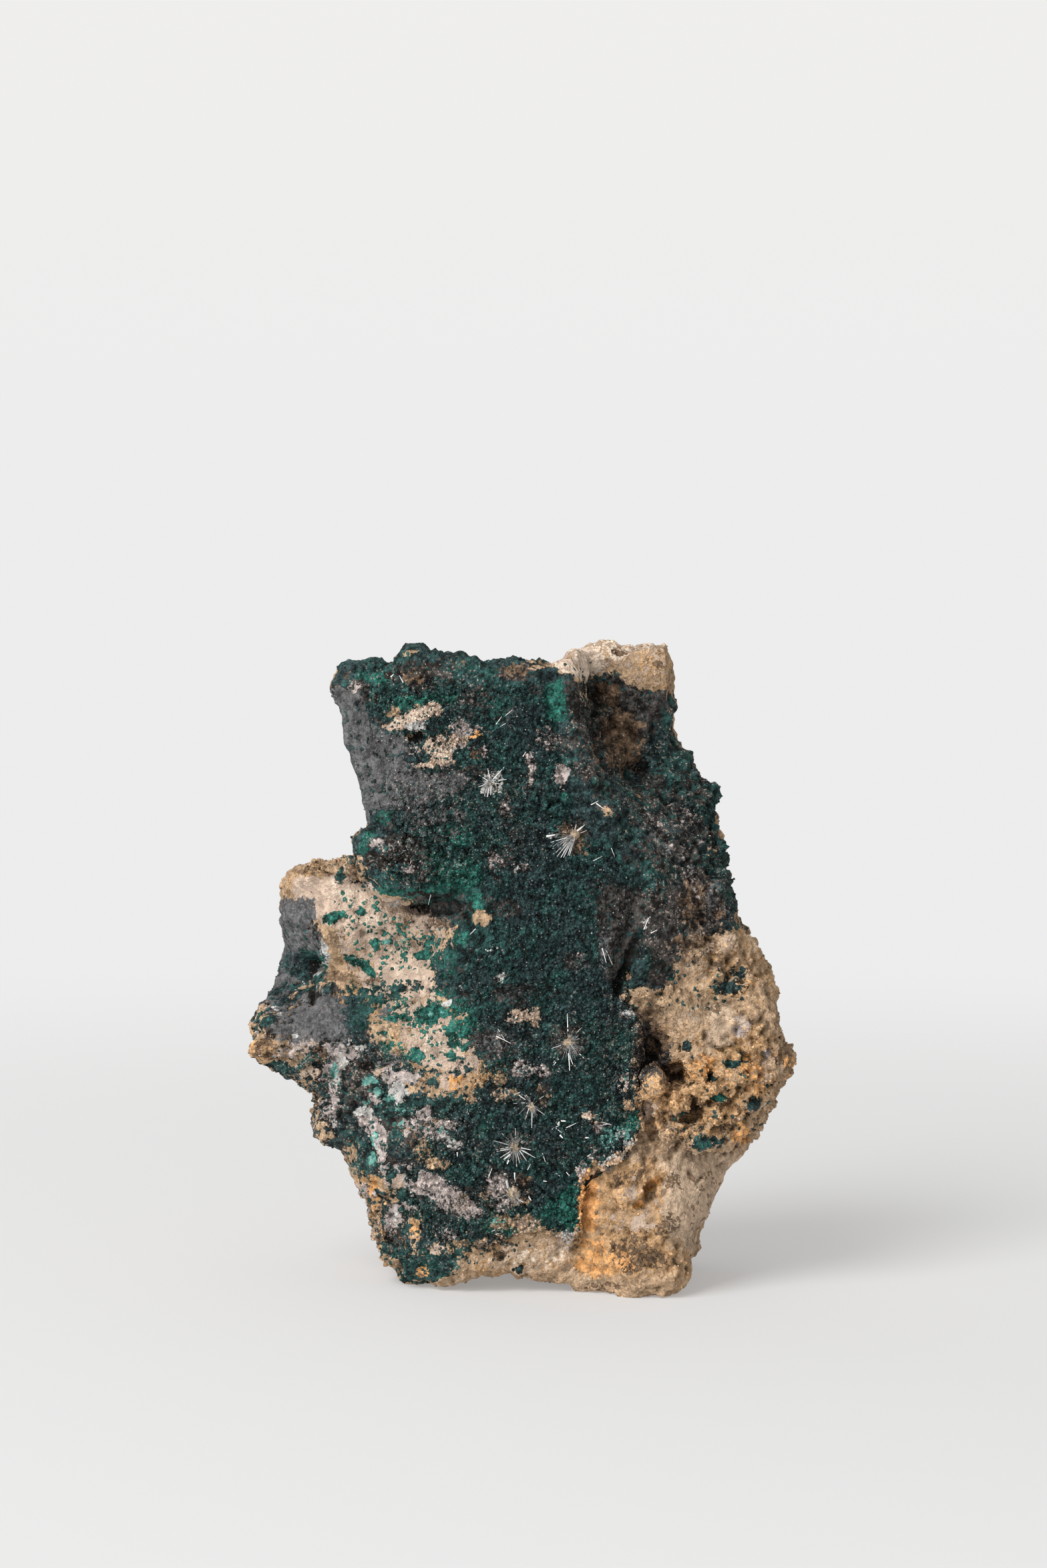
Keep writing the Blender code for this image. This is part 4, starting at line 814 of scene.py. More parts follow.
def on_surface(pixel, trees):
    """The point and normal of the surface that the camera sees at a pixel of the photograph."""
    location, turn = camera_place()
    across = (pixel[0] - PHOTO_WIDTH / 2) / PHOTO_SCALE
    up = (PHOTO_HEIGHT / 2 - pixel[1]) / PHOTO_SCALE
    way = (turn @ Vector((across, up, -1.0))).normalized()
    best = None
    for tree in trees:
        hit, normal, _, away = tree.ray_cast(location, way)
        if hit is not None and (best is None or away < best[2]):
            best = (hit, normal, away)
    if best is None:
        raise RuntimeError(f"nothing lies behind pixel {pixel}")
    return best[0], best[1]


def seen_share(points, trees):
    """1 where the camera sees a point or the ground just in front of it, and 0 well behind."""
    location, _ = camera_place()
    behind = np.zeros(len(points))
    for index, point in enumerate(points.tolist()):
        way = Vector(point) - location
        away = way.length
        found = [tree.ray_cast(location, way / away)[3] for tree in trees]
        behind[index] = away - min([away] + [distance for distance in found if distance is not None])
    return ramp_up(HIDDEN_DEPTH, SEEN_DEPTH, behind)


def ramp_up(low, high, values):
    """0 below low, 1 above high, and a smooth rise between them; with low above high, a fall."""
    share = np.clip((values - low) / (high - low), 0.0, 1.0)
    return share * share * (3.0 - 2.0 * share)


def fractal(points, size, depth=4, shift=0.0):
    """Cloudy noise from about -1 to 1, with swells of the given size in metres."""
    places = (points / size + shift).tolist()
    return np.array([noise.fractal(place, 1.0, 2.0, depth) for place in places])


def domes(points, size, shift=0.0):
    """Rounded lumps packed side by side, 0 in the creases and 1 on the tops."""
    places = points / size + shift
    places = places + 0.28 * np.sin(places[:, (1, 2, 0)] * 2.3) + 0.12 * np.sin(places[:, (2, 0, 1)] * 6.1)
    nearest = np.array([noise.voronoi(place)[0][:2] for place in places.tolist()])
    crease = ramp_up(0.0, 0.30, nearest[:, 1] - nearest[:, 0])
    return np.clip(1.0 - (nearest[:, 0] / 0.78) ** 2, 0.0, 1.0) * (0.25 + 0.75 * crease)


def crags(points, size):
    """Broken, sharp-crested unevenness from about -1 to 1."""
    places = (points / size).tolist()
    ridged = np.array([noise.ridged_multi_fractal(place, 1.0, 2.1, 4, 1.0, 2.0) for place in places])
    return ridged - 1.2


def patches(pixels, areas, soft=0.5):
    """How strongly a list of ellipses marks each pixel place; soft widens their edges."""
    mark = np.zeros(len(pixels))
    for x, y, across, down, strength, *turn in areas:
        angle = math.radians(sum(turn))
        dx = pixels[:, 0] - x
        dy = pixels[:, 1] - y
        u = (dx * math.cos(angle) + dy * math.sin(angle)) / across
        v = (dy * math.cos(angle) - dx * math.sin(angle)) / down
        reach = np.sqrt(u * u + v * v)
        mark = np.maximum(mark, strength * ramp_up(1.0 + soft, 1.0 - soft, reach))
    return mark


def inside(pixels, outline, soft):
    """1 well inside an outline of pixels and 0 well outside, with a slope soft pixels to either side."""
    places = np.array(outline, dtype=float)
    nearest = np.full(len(pixels), np.inf)
    within = np.zeros(len(pixels), dtype=bool)
    level_line = pixels[:, 1]
    for start, end in zip(places, np.roll(places, -1, axis=0)):
        along = end - start
        share = np.clip((pixels - start) @ along / (along @ along), 0.0, 1.0)
        nearest = np.minimum(nearest, np.linalg.norm(pixels - start - share[:, None] * along, axis=1))
        straddles = (start[1] > level_line) != (end[1] > level_line)
        crossing = start[0] + (level_line - start[1]) * along[0] / (along[1] + 1e-9)
        within ^= straddles & (pixels[:, 0] < crossing)
    return ramp_up(-soft, soft, np.where(within, nearest, -nearest))


def mesh_arrays(mesh):
    """A mesh's points and normals as arrays."""
    points = np.empty(len(mesh.vertices) * 3)
    mesh.vertices.foreach_get("co", points)
    normals = np.empty(len(mesh.vertices) * 3)
    mesh.vertex_normals.foreach_get("vector", normals)
    return points.reshape(-1, 3), normals.reshape(-1, 3)


def set_points(mesh, points):
    """Moves a mesh's points."""
    mesh.vertices.foreach_set("co", points.ravel())
    mesh.update()


def new_object(name, made):
    """An object in the scene for a mesh, a light or a camera."""
    piece = bpy.data.objects.new(name, made)
    bpy.context.scene.collection.objects.link(piece)
    return piece


def finish_modifiers(piece):
    """Puts an object's modifiers into its mesh."""
    scene_state = bpy.context.evaluated_depsgraph_get()
    mesh = bpy.data.meshes.new_from_object(piece.evaluated_get(scene_state))
    piece.modifiers.clear()
    old = piece.data
    piece.data = mesh
    bpy.data.meshes.remove(old)


def merged_copy(node):
    """A copy of a CAD node's mesh with its loose triangles joined."""
    bm = bmesh.new()
    bm.from_mesh(frame["nodes"][node].data)
    bmesh.ops.remove_doubles(bm, verts=bm.verts, dist=0.001 * MM)
    mesh = bpy.data.meshes.new(node + "_merged")
    bm.to_mesh(mesh)
    bm.free()
    return mesh


def tree_of(mesh):
    """A search tree over a mesh's faces."""
    bm = bmesh.new()
    bm.from_mesh(mesh)
    tree = BVHTree.FromBMesh(bm)
    bm.free()
    return tree


def cad_trees():
    """Search trees over the CAD model's rock and crust."""
    trees = []
    for node in ("matrix_rock", "malachite_crust"):
        mesh = merged_copy(node)
        trees.append(tree_of(mesh))
        bpy.data.meshes.remove(mesh)
    return trees


def fine_piece(name, node, spacing, rounds):
    """A closed and evenly meshed piece in the shape of a CAD node, its facets rounded off."""
    piece = new_object(name, merged_copy(node))
    remesh = piece.modifiers.new("Even mesh", "REMESH")
    remesh.mode = "VOXEL"
    remesh.voxel_size = spacing
    smooth = piece.modifiers.new("Rounding", "SMOOTH")
    smooth.factor = 0.5
    smooth.iterations = rounds
    finish_modifiers(piece)
    return piece


def thin_out(piece, most, spare):
    """Takes triangles away down to a limit, mostly where spare is near 1."""
    group = piece.vertex_groups.new(name="Spare")
    tenths = np.round(spare * 10).astype(int)
    for tenth in range(1, 11):
        group.add(np.nonzero(tenths == tenth)[0].tolist(), tenth / 10, "REPLACE")
    mesh = piece.data
    mesh.calc_loop_triangles()
    decimate = piece.modifiers.new("Thin out", "DECIMATE")
    decimate.ratio = min(1.0, most / len(mesh.loop_triangles))
    decimate.vertex_group = "Spare"
    decimate.vertex_group_factor = 4.0
    finish_modifiers(piece)
    piece.vertex_groups.clear()


def edge_places(crust_points, rock_tree):
    """How far each point of the crust is from the rock, and the points on the wall of the crust's edge,
    which lie between its back and its face."""
    gap = np.array([rock_tree.find_nearest(point)[3] for point in crust_points.tolist()])
    wall = (gap > WALL_START) & (gap < WALL_END)
    return gap, crust_points[wall]


def near_edge(points, edge, reach):
    """For each point, how near the crust's hidden edge is, 1 on it and 0 beyond reach."""
    open_share = patches(photo_pixels(edge), OPEN_EDGE, 0.25)
    finder = KDTree(len(edge))
    for index, place in enumerate(edge.tolist()):
        finder.insert(place, index)
    finder.balance()
    nearness = np.zeros(len(points))
    for index, point in enumerate(points.tolist()):
        _, found, away = finder.find(point)
        if away < reach:
            nearness[index] = (1.0 - away / reach) * (1.0 - open_share[found])
    return ramp_up(0.0, 1.0, nearness)


def relief(points, front, rough, velvet, nodules, botryoids):
    """How far each point of a mineral surface stands out, in metres. front is 1 where the camera sees it,
    and the rest are the heights of its broken surface, fine grains, nodules and botryoids."""
    pixels = photo_pixels(points)
    smooth = patches(pixels, SMOOTH_GROUND) * front
    nodular = np.maximum(patches(pixels, NODULAR_GROUND) * front, 0.35 * (1.0 - front))
    rounded = patches(pixels, BOTRYOIDAL_GROUND) * front
    broad = fractal(points, WIDE_SWELL, 3)
    broken = fractal(points, SMALL_SWELL, 4, 7.3)
    height = rough * (0.9 * broad + (0.9 + 0.9 * nodular) * broken) * (1.0 - 0.75 * smooth)
    fine = domes(points, GRAIN_SIZE, 3.1) - 0.5
    height += velvet * fine * (1.0 - 0.6 * smooth)
    large = domes(points, LARGE_DOME, 1.7) - 0.45
    small = domes(points, SMALL_DOME, 5.9) - 0.45
    height += nodules * nodular * (0.65 * large + 0.50 * small)
    height += botryoids * rounded * (0.35 * large + 0.65 * small)
    height += (1.0 - front) * CRAG_HEIGHT * crags(points, CRAG_SIZE)
    height -= patches(pixels, HOLLOWS, 0.45) * front * MM
    height += patches(pixels, LUMPS, 0.45) * front * MM
    return height


def edge_ends(mesh):
    """The two ends of each of a mesh's edges, and how many edges meet at each point."""
    ends = np.empty(len(mesh.edges) * 2, dtype=np.int64)
    mesh.edges.foreach_get("vertices", ends)
    first, second = ends.reshape(-1, 2).T
    size = len(mesh.vertices)
    meeting = np.bincount(first, minlength=size) + np.bincount(second, minlength=size) + 1e-9
    return first, second, meeting


def evened(mesh, values, rounds):
    """Values of a mesh's points, blended with their neighbours' a number of times."""
    first, second, meeting = edge_ends(mesh)
    for _ in range(rounds):
        total = np.bincount(first, values[second], len(values))
        total += np.bincount(second, values[first], len(values))
        values = 0.5 * values + 0.5 * total / meeting
    return values


def hollowness(mesh, rounds):
    """How sunken each point is between its neighbours: above 0 in crevices and below 0 on ridges."""
    points, normals = mesh_arrays(mesh)
    first, second, meeting = edge_ends(mesh)
    step = points[second] - points[first]
    step /= np.linalg.norm(step, axis=1)[:, None] + 1e-12
    rise = np.bincount(first, (normals[first] * step).sum(1), len(points))
    rise -= np.bincount(second, (normals[second] * step).sum(1), len(points))
    return evened(mesh, rise / meeting, rounds)


def set_attribute(mesh, name, values):
    """Stores one number for each point of a mesh."""
    mesh.attributes.new(name, "FLOAT", "POINT").data.foreach_set("value", values.astype(np.float32))


def wandering_pixels(points, normals):
    """Where points fall in the photograph, moved about by a few pixels so that the patches get ragged
    edges, and by up to 60 on flanks that turn away from the camera, where a patch would be drawn out."""
    pixels = photo_pixels(points)
    ragged = [fractal(points, 1.2 * MM, 3, shift) for shift in (11.0, 23.0)]
    swing = [fractal(points, 8.0 * MM, 4, shift) for shift in (41.0, 47.0)]
    aslant = ramp_up(0.65, 0.15, -normals[:, 1])
    return pixels + np.stack(ragged, axis=1) * 5.0 + np.stack(swing, axis=1) * (60.0 * aslant)[:, None]


def paint(mesh, trees, hidden_malachite):
    """Stores how strongly each mineral shows at each point: patches on the front, and clouds of
    the same minerals on the sides and back. hidden_malachite is how much malachite lies there: 0 on the
    rock, which also gets faint stains in front, and 1 on the crust."""
    points, normals = mesh_arrays(mesh)
    front = seen_share(points, trees)
    pixels = wandering_pixels(points, normals)
    clouds = {}
    for mineral, (strength, start, full, size, detail, shift) in CLOUDS.items():
        clouds[mineral] = strength * ramp_up(start, full, fractal(points, size * MM, detail, shift))
    clouds["green_specks"] = 0.25 * ramp_up(-0.2, 0.6, clouds["malachite"])
    marks = {}
    for mineral, areas in SKIN_PATCHES.items():
        here = patches(pixels, areas, PATCH_SOFTNESS)
        for zone, strength, soft, outline in SKIN_ZONES:
            if zone == mineral:
                here = np.maximum(here, strength * inside(pixels, outline, soft))
        cloud = clouds.get(mineral, 0.0)
        marks[mineral] = front * here + (1.0 - front) * cloud * (1.0 - hidden_malachite)
    if hidden_malachite == 0.0:
        for mineral in ("haze", "ochre", "brown"):
            stain = 0.55 * front * clouds[mineral] * (1.0 - marks["umber"])
            marks[mineral] = np.maximum(marks[mineral], stain)
    field = inside(pixels, BARE_FIELD_OUTLINE, FIELD_SOFTNESS)
    ground = inside(pixels, MALACHITE_OUTLINE, GROUND_SOFTNESS) * (1.0 - field)
    ground = front * ground + (1.0 - front) * hidden_malachite
    pale = np.maximum.reduce([marks[mineral] for mineral in ("tan", "cream", "lilac", "rust", "brown")])
    dusky = np.maximum(marks["umber"], marks["grey"])
    kept = ground * (1.0 - 0.94 * pale) * (1.0 - 0.72 * dusky)
    marks["malachite"] = np.maximum(kept, marks["malachite"])
    # The dark layer's painted shade is held below full strength
    marks["dark"] *= 0.85
    marks["umber"] = np.maximum(marks["umber"], ground * (1.0 - np.maximum(marks["tan"], marks["cream"])))
    for mineral, values in marks.items():
        if mineral != "tan":
            set_attribute(mesh, mineral, values)
    # Painted shade and painted highlight: how sunken or raised each point is, stored so that the skin's
    # colour is darkened in the crevices and lightened on the ridges
    fine = hollowness(mesh, 2)
    wide = hollowness(mesh, 14)
    set_attribute(mesh, "crevice", np.clip(fine * 3.0 + wide * 7.0, 0.0, 1.0))
    set_attribute(mesh, "ridge", np.clip(-fine * 2.0 - wide * 4.0, 0.0, 1.0))
    set_attribute(mesh, "tone", np.full(len(points), 0.5))


def feed(tree, socket, value):
    """Links an output to a socket, or sets the socket's value."""
    if isinstance(value, bpy.types.NodeSocket):
        tree.links.new(value, socket)
    else:
        socket.default_value = value


def put(tree, kind, inputs=(), **choices):
    """Adds a node with its choices made and its inputs fed, each by its name or number."""
    added = tree.nodes.new(kind)
    for name, value in choices.items():
        setattr(added, name, value)
    for key, value in inputs:
        feed(tree, added.inputs[key], value)
    return added


def reckon(tree, operation, first, second=0.0, clamp=False):
    """The output of a Math node."""
    inputs = ((0, first), (1, second))
    return put(tree, "ShaderNodeMath", inputs, operation=operation, use_clamp=clamp).outputs[0]


def times(tree, first, second, clamp=False):
    """The product of two values."""
    return reckon(tree, "MULTIPLY", first, second, clamp)


def weighed(tree, *parts, clamp=False):
    """The sum of several values, each times its weight."""
    total = times(tree, *parts[0])
    for value, weight in parts[1:]:
        total = reckon(tree, "ADD", total, times(tree, value, weight), clamp)
    return total


def between(tree, share, low, high):
    """The output of a colour mix."""
    return put(tree, "ShaderNodeMix", ((0, share), (6, low), (7, high)), data_type="RGBA").outputs[2]


def between_values(tree, share, low, high):
    """The output of a mix of two numbers."""
    return put(tree, "ShaderNodeMix", ((0, share), (2, low), (3, high)), data_type="FLOAT").outputs[0]


def rescale(tree, value, low, high, to_low=0.0, to_high=1.0):
    """Maps a value smoothly from one range to another, and holds it inside."""
    inputs = ((0, value), (1, low), (2, high), (3, to_low), (4, to_high))
    return put(tree, "ShaderNodeMapRange", inputs, interpolation_type="SMOOTHSTEP").outputs[0]


def opaque(colour, share=1.0):
    """A colour of a node socket from a setting, darkened to a share."""
    return (colour[0] * share, colour[1] * share, colour[2] * share, 1.0)


def shades(tree, share, colour, darkest, brightest):
    """A colour from its darkest to its brightest shade."""
    return between(tree, share, opaque(colour, darkest), opaque(colour, brightest))


def revalued(tree, colour, value, saturation=1.0):
    """A colour made lighter or darker, or more or less saturated."""
    inputs = (("Saturation", saturation), ("Value", value), ("Color", colour))
    return put(tree, "ShaderNodeHueSaturation", inputs).outputs[0]


def stored(tree, name):
    """A number that paint() stored on the mesh."""
    return put(tree, "ShaderNodeAttribute", attribute_name=name).outputs["Fac"]


def object_place(tree):
    """The place on the object, in its own metres."""
    return put(tree, "ShaderNodeTexCoord").outputs["Object"]


def start_group(name, inputs, outputs):
    """A new shader node group with named sockets, of numbers but for an output named Color; returns it
    with its inner inputs and outputs."""
    tree = bpy.data.node_groups.new(name, "ShaderNodeTree")
    for label, value in inputs:
        socket = tree.interface.new_socket(label, in_out="INPUT", socket_type="NodeSocketFloat")
        socket.default_value = value
    for label in outputs:
        kind = "NodeSocketColor" if label == "Color" else "NodeSocketFloat"
        tree.interface.new_socket(label, in_out="OUTPUT", socket_type=kind)
    return tree, tree.nodes.new("NodeGroupInput").outputs, tree.nodes.new("NodeGroupOutput").inputs


def mineral_grain_group():
    """Patterns that all of the skin's minerals share: clouds, grains, specks and ragged edges."""
    patterns = ("Broad", "Cloud", "Fine", "Grain Tone", "Grain Dome", "Speck Tone", "Speck Dome",
                "Edge A", "Edge B", "Edge C", "Edge D", "Sprinkle")
    tree, given, result = start_group("Mineral Grain", (("Grain Size", 0.5 * MM),), patterns)
    place = object_place(tree)
    density = reckon(tree, "DIVIDE", 1.0, given["Grain Size"])

    def clouds(share, detail):
        scale = times(tree, density, share)
        inputs = (("Vector", place), ("Scale", scale), ("Detail", detail), ("Roughness", 0.62))
        return put(tree, "ShaderNodeTexNoise", inputs)

    broad = clouds(0.10, 4.0)
    cloud = clouds(0.42, 5.0)
    fine = clouds(1.6, 2.0)
    inputs = ((0, fine.outputs["Color"]), ("Scale", 0.22 * MM))
    sway = put(tree, "ShaderNodeVectorMath", inputs, operation="SCALE").outputs[0]
    swayed = put(tree, "ShaderNodeVectorMath", ((0, place), (1, sway)), operation="ADD").outputs[0]
    grains = put(tree, "ShaderNodeTexVoronoi", (("Vector", swayed), ("Scale", density)))
    specks = put(tree, "ShaderNodeTexVoronoi", (("Vector", swayed), ("Scale", times(tree, density, 2.4))))
    grain_tones, cloud_tones, speck_tones, fine_tones = (
        put(tree, "ShaderNodeSeparateColor", ((0, pattern.outputs["Color"]),)).outputs
        for pattern in (grains, cloud, specks, fine))
    for index, name in enumerate(("Edge A", "Edge B", "Edge C")):
        ragged = rescale(tree, cloud_tones[index], 0.30, 0.70)
        finer = rescale(tree, fine_tones[index], 0.30, 0.70)
        edge = weighed(tree, (ragged, 0.36), (finer, 0.20), (grain_tones[index], 0.44))
        spaced = rescale(tree, edge, 0.0, 1.0, 0.07, 0.93)
        feed(tree, result[name], spaced)
        if name == "Edge A":
            feed(tree, result["Edge D"], reckon(tree, "SUBTRACT", 1.0, spaced))
    plain = {
        "Broad": rescale(tree, broad.outputs[0], 0.30, 0.70),
        "Cloud": rescale(tree, cloud.outputs[0], 0.28, 0.72),
        "Fine": rescale(tree, fine.outputs[0], 0.25, 0.75),
        "Grain Tone": grain_tones[0],
        "Sprinkle": grain_tones[1],
        "Grain Dome": rescale(tree, grains.outputs["Distance"], 0.85, 0.0),
        "Speck Tone": speck_tones[0],
        "Speck Dome": rescale(tree, specks.outputs["Distance"], 0.85, 0.0),
    }
    for name, value in plain.items():
        feed(tree, result[name], value)
    return tree


def grain_edge_group():
    """Turns a soft mask into one with a crisp ragged edge."""
    tree, given, result = start_group(
        "Grain Edge", (("Mask", 0.0), ("Edge", 0.5), ("Softness", 0.06)), ("Cover",))
    over = reckon(tree, "SUBTRACT", given["Mask"], given["Edge"])
    low = times(tree, given["Softness"], -1.0)
    feed(tree, result["Cover"], rescale(tree, over, low, given["Softness"]))
    return tree


def mineral_colour(name):
    """A mineral's colour in the settings of the rock or the crust."""
    rock = settings().rock
    return getattr(rock if hasattr(rock, name) else settings().crust, name)


def specks_cover(tree, mask, clusters, chance, shape):
    """Single grains strewn in clusters where a mask is: those whose chance is below it."""
    over = reckon(tree, "SUBTRACT", times(tree, stored(tree, mask), clusters), chance)
    return times(tree, rescale(tree, over, -0.03, 0.03), shape)


def layered_minerals(tree, pattern, tone, colour):
    """The minerals laid over the bare matrix's colour one by one; returns the colour, the roughness and the
    height of the grains, which also sets the painted shade in the creases between them."""
    rock = settings().rock
    crust = settings().crust
    grained = rescale(tree, pattern["Grain Dome"], 0.15, 0.45)
    small = rescale(tree, pattern["Speck Dome"], 0.10, 0.40)
    clusters = rescale(tree, pattern["Cloud"], 0.2, 0.8, 0.1, 1.9)
    green_specks = specks_cover(tree, "green_specks", clusters, pattern["Sprinkle"], grained)
    pale_specks = specks_cover(tree, "pale_specks", clusters, pattern["Speck Tone"], small)
    edge_tree = grain_edge_group()
    rough = 0.9
    knobs = 0.45
    for name, edge, shade, light, roughness, knob in SKIN_LAYERS:
        inputs = (("Mask", stored(tree, name)), ("Edge", pattern[edge]))
        cover = put(tree, "ShaderNodeGroup", inputs, node_tree=edge_tree).outputs["Cover"]
        layer = shades(tree, tone, mineral_colour(name), shade, light)
        if name == "malachite":
            cover = reckon(tree, "MAXIMUM", cover, green_specks)
            greened = cover
            bluish = shades(tree, tone, crust.slate, shade, light)
            layer = between(tree, rescale(tree, pattern["Broad"], 0.40, 0.70, 0.0, 0.75), layer, bluish)
        if name == "bright":
            cover = times(tree, cover, greened)
        colour = between(tree, cover, colour, layer)
        rough = between_values(tree, cover, rough, roughness)
        knobs = between_values(tree, cover, knobs, knob)
    flecks = between(tree, tone, opaque(rock.lilac, 0.7), opaque(rock.cream, 1.1))
    return between(tree, times(tree, pale_specks, 0.75), colour, flecks), rough, knobs


def mineral_skin_group():
    """The layered minerals of the skin from the masks that paint() stored on the mesh, with painted shade in
    crevices and creases, painted highlights on ridges and painted glints.
    """
    own = settings()
    tree, given, result = start_group(
        "Mineral Skin", (("Grain Size", 0.5 * MM), ("Sparkle", 0.05)), ("Color", "Roughness", "Height"))
    inputs = (("Grain Size", given["Grain Size"]),)
    pattern = put(tree, "ShaderNodeGroup", inputs, node_tree=mineral_grain_group()).outputs
    tone = weighed(tree, (pattern["Cloud"], 0.45), (pattern["Grain Tone"], 0.30), (pattern["Fine"], 0.25))
    tone = rescale(tree, tone, 0.20, 0.80)
    earthy = weighed(tree, (pattern["Broad"], 0.45), (tone, 0.55))
    bare = shades(tree, rescale(tree, earthy, 0.15, 0.85), own.rock.tan, 0.66, 1.25)
    colour, rough, knobs = layered_minerals(tree, pattern, tone, bare)
    own_shade = rescale(tree, stored(tree, "tone"), 0.0, 1.0, 0.55, 1.45)
    colour = revalued(tree, colour, own_shade)
    # Painted shade: the creases between the grains and the crevices of the surface darken the colour to a
    # shaded copy
    creases = times(tree, reckon(tree, "SUBTRACT", 0.85, pattern["Grain Dome"], True), knobs)
    sunken = weighed(tree, (stored(tree, "crevice"), 0.75), (creases, 0.70), clamp=True)
    colour = between(tree, sunken, colour, revalued(tree, colour, 0.22, 1.15))
    # Painted highlight: the ridges lighten the colour to a lit copy
    ridge = times(tree, stored(tree, "ridge"), 0.55)
    colour = between(tree, ridge, colour, revalued(tree, colour, 1.5))
    # Painted glints: a few specks turned nearly white in the colour stand in for sparkle
    chosen = rescale(tree, pattern["Speck Tone"], 0.980, 0.985)
    painted_glints = times(tree, chosen, rescale(tree, pattern["Speck Dome"], 0.25, 0.45))
    painted_glints = times(tree, painted_glints, given["Sparkle"], True)
    colour = between(tree, painted_glints, colour, opaque(own.crust.white, 0.8))
    gleam = rescale(tree, pattern["Speck Tone"], 0.10, 0.02)
    rough = reckon(tree, "SUBTRACT", rough, times(tree, gleam, 0.35), True)
    domed = reckon(tree, "ADD", pattern["Grain Dome"], times(tree, pattern["Speck Dome"], 0.4))
    height = weighed(tree, (pattern["Cloud"], 0.9), (pattern["Fine"], 0.35), (domed, knobs))
    feed(tree, result["Color"], colour)
    feed(tree, result["Roughness"], rough)
    feed(tree, result["Height"], height)
    return tree


def start_material(name):
    """A new material; returns it with its node tree and its Principled shader."""
    made = bpy.data.materials.new(name)
    made.use_nodes = True
    return made, made.node_tree, made.node_tree.nodes["Principled BSDF"]


def skin_material(name, grain_size, painted_glint, bump):
    """The mineral skin as a material, with its own grain size, strength of painted glints and bump height in
    metres.
    """
    made, tree, shader = start_material(name)
    group_tree = bpy.data.node_groups.get("Mineral Skin") or mineral_skin_group()
    inputs = (("Grain Size", grain_size), ("Sparkle", painted_glint))
    skin = put(tree, "ShaderNodeGroup", inputs, node_tree=group_tree).outputs
    raised = put(tree, "ShaderNodeBump", (("Distance", bump), ("Height", skin["Height"]))).outputs[0]
    feed(tree, shader.inputs["Base Color"], skin["Color"])
    feed(tree, shader.inputs["Roughness"], skin["Roughness"])
    feed(tree, shader.inputs["Normal"], raised)
    shader.inputs["Specular IOR Level"].default_value = 0.22
    return made


def needle_material(name, clearness, darkest, brightest):
    """Hemimorphite, partly milky: how far light passes through it, and its least and most brightness."""
    made, tree, shader = start_material(name)
    inputs = (("Vector", object_place(tree)), ("Scale", 2500.0), ("Detail", 2.0))
    milky = put(tree, "ShaderNodeTexNoise", inputs).outputs[0]
    crystal = settings().needles.crystal
    colour = shades(tree, rescale(tree, milky, 0.35, 0.65), crystal, darkest, brightest)
    feed(tree, shader.inputs["Base Color"], colour)
    feed(tree, shader.inputs["Roughness"], rescale(tree, milky, 0.3, 0.7, 0.10, 0.28))
    shader.inputs["Transmission Weight"].default_value = clearness
    shader.inputs["IOR"].default_value = 1.62
    return made


def core_material():
    """The brown stained core of a spray."""
    made, tree, shader = start_material("spray_core")
    place = object_place(tree)
    grain = put(tree, "ShaderNodeTexVoronoi", (("Vector", place), ("Scale", 5000.0)))
    inputs = (("Vector", place), ("Scale", 2200.0), ("Detail", 3.0))
    cloud = put(tree, "ShaderNodeTexNoise", inputs).outputs[0]
    colour = shades(tree, rescale(tree, cloud, 0.3, 0.7), settings().needles.core, 0.45, 1.3)
    bump = put(tree, "ShaderNodeBump", (("Distance", 0.1 * MM), ("Height", grain.outputs["Distance"])))
    feed(tree, shader.inputs["Base Color"], colour)
    feed(tree, shader.inputs["Roughness"], rescale(tree, cloud, 0.3, 0.7, 0.55, 0.85))
    feed(tree, shader.inputs["Normal"], bump.outputs[0])
    return made


def needle_materials():
    """The clear needles', the milky white needles' and the core's materials, made once."""
    made = [bpy.data.materials.get(row[0]) or needle_material(*row) for row in NEEDLE_MATERIALS]
    return made + [bpy.data.materials.get("spray_core") or core_material()]


def make_rock():
    """The limonite matrix in fine detail, in place of its CAD node."""
    rock = settings().rock
    piece = fine_piece("rock_surface", "matrix_rock", rock.spacing, 6)
    mesh = piece.data
    points, normals = mesh_arrays(mesh)
    trees = cad_trees()
    front = seen_share(points, trees)
    trial = fine_piece("crust_trial", "malachite_crust", TRIAL_SPACING, 0)
    trial_mesh = trial.data
    trial_points, _ = mesh_arrays(trial_mesh)
    _, edge = edge_places(trial_points, trees[0])
    crust_tree = tree_of(trial_mesh)
    bpy.data.objects.remove(trial)
    bpy.data.meshes.remove(trial_mesh)
    swell = near_edge(points, edge, SWELL_REACH)
    height = relief(points, front, rock.relief, ROCK_VELVET, rock.nodules, ROCK_BOTRYOIDS)
    height += swell * SWELL_HEIGHT
    covered = np.array([crust_tree.find_nearest(point, COVER_GAP)[3] is not None
                        for point in points.tolist()])
    height = np.where(covered, np.minimum(height, swell * SWELL_HEIGHT), height)
    points = points + normals * height[:, None]
    points[:, 2] = np.maximum(points[:, 2], 0.0)
    set_points(mesh, points)
    thin_out(piece, rock.triangles, np.maximum(covered * (1.0 - swell), 0.5 * (1.0 - front)))
    paint(piece.data, trees, 0.0)
    piece.data.materials.append(skin_material("limonite_matrix", 0.6 * MM, 0.3, 0.35 * MM))
    piece.data.shade_smooth()
    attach(piece, "root")
    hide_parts("matrix_rock")


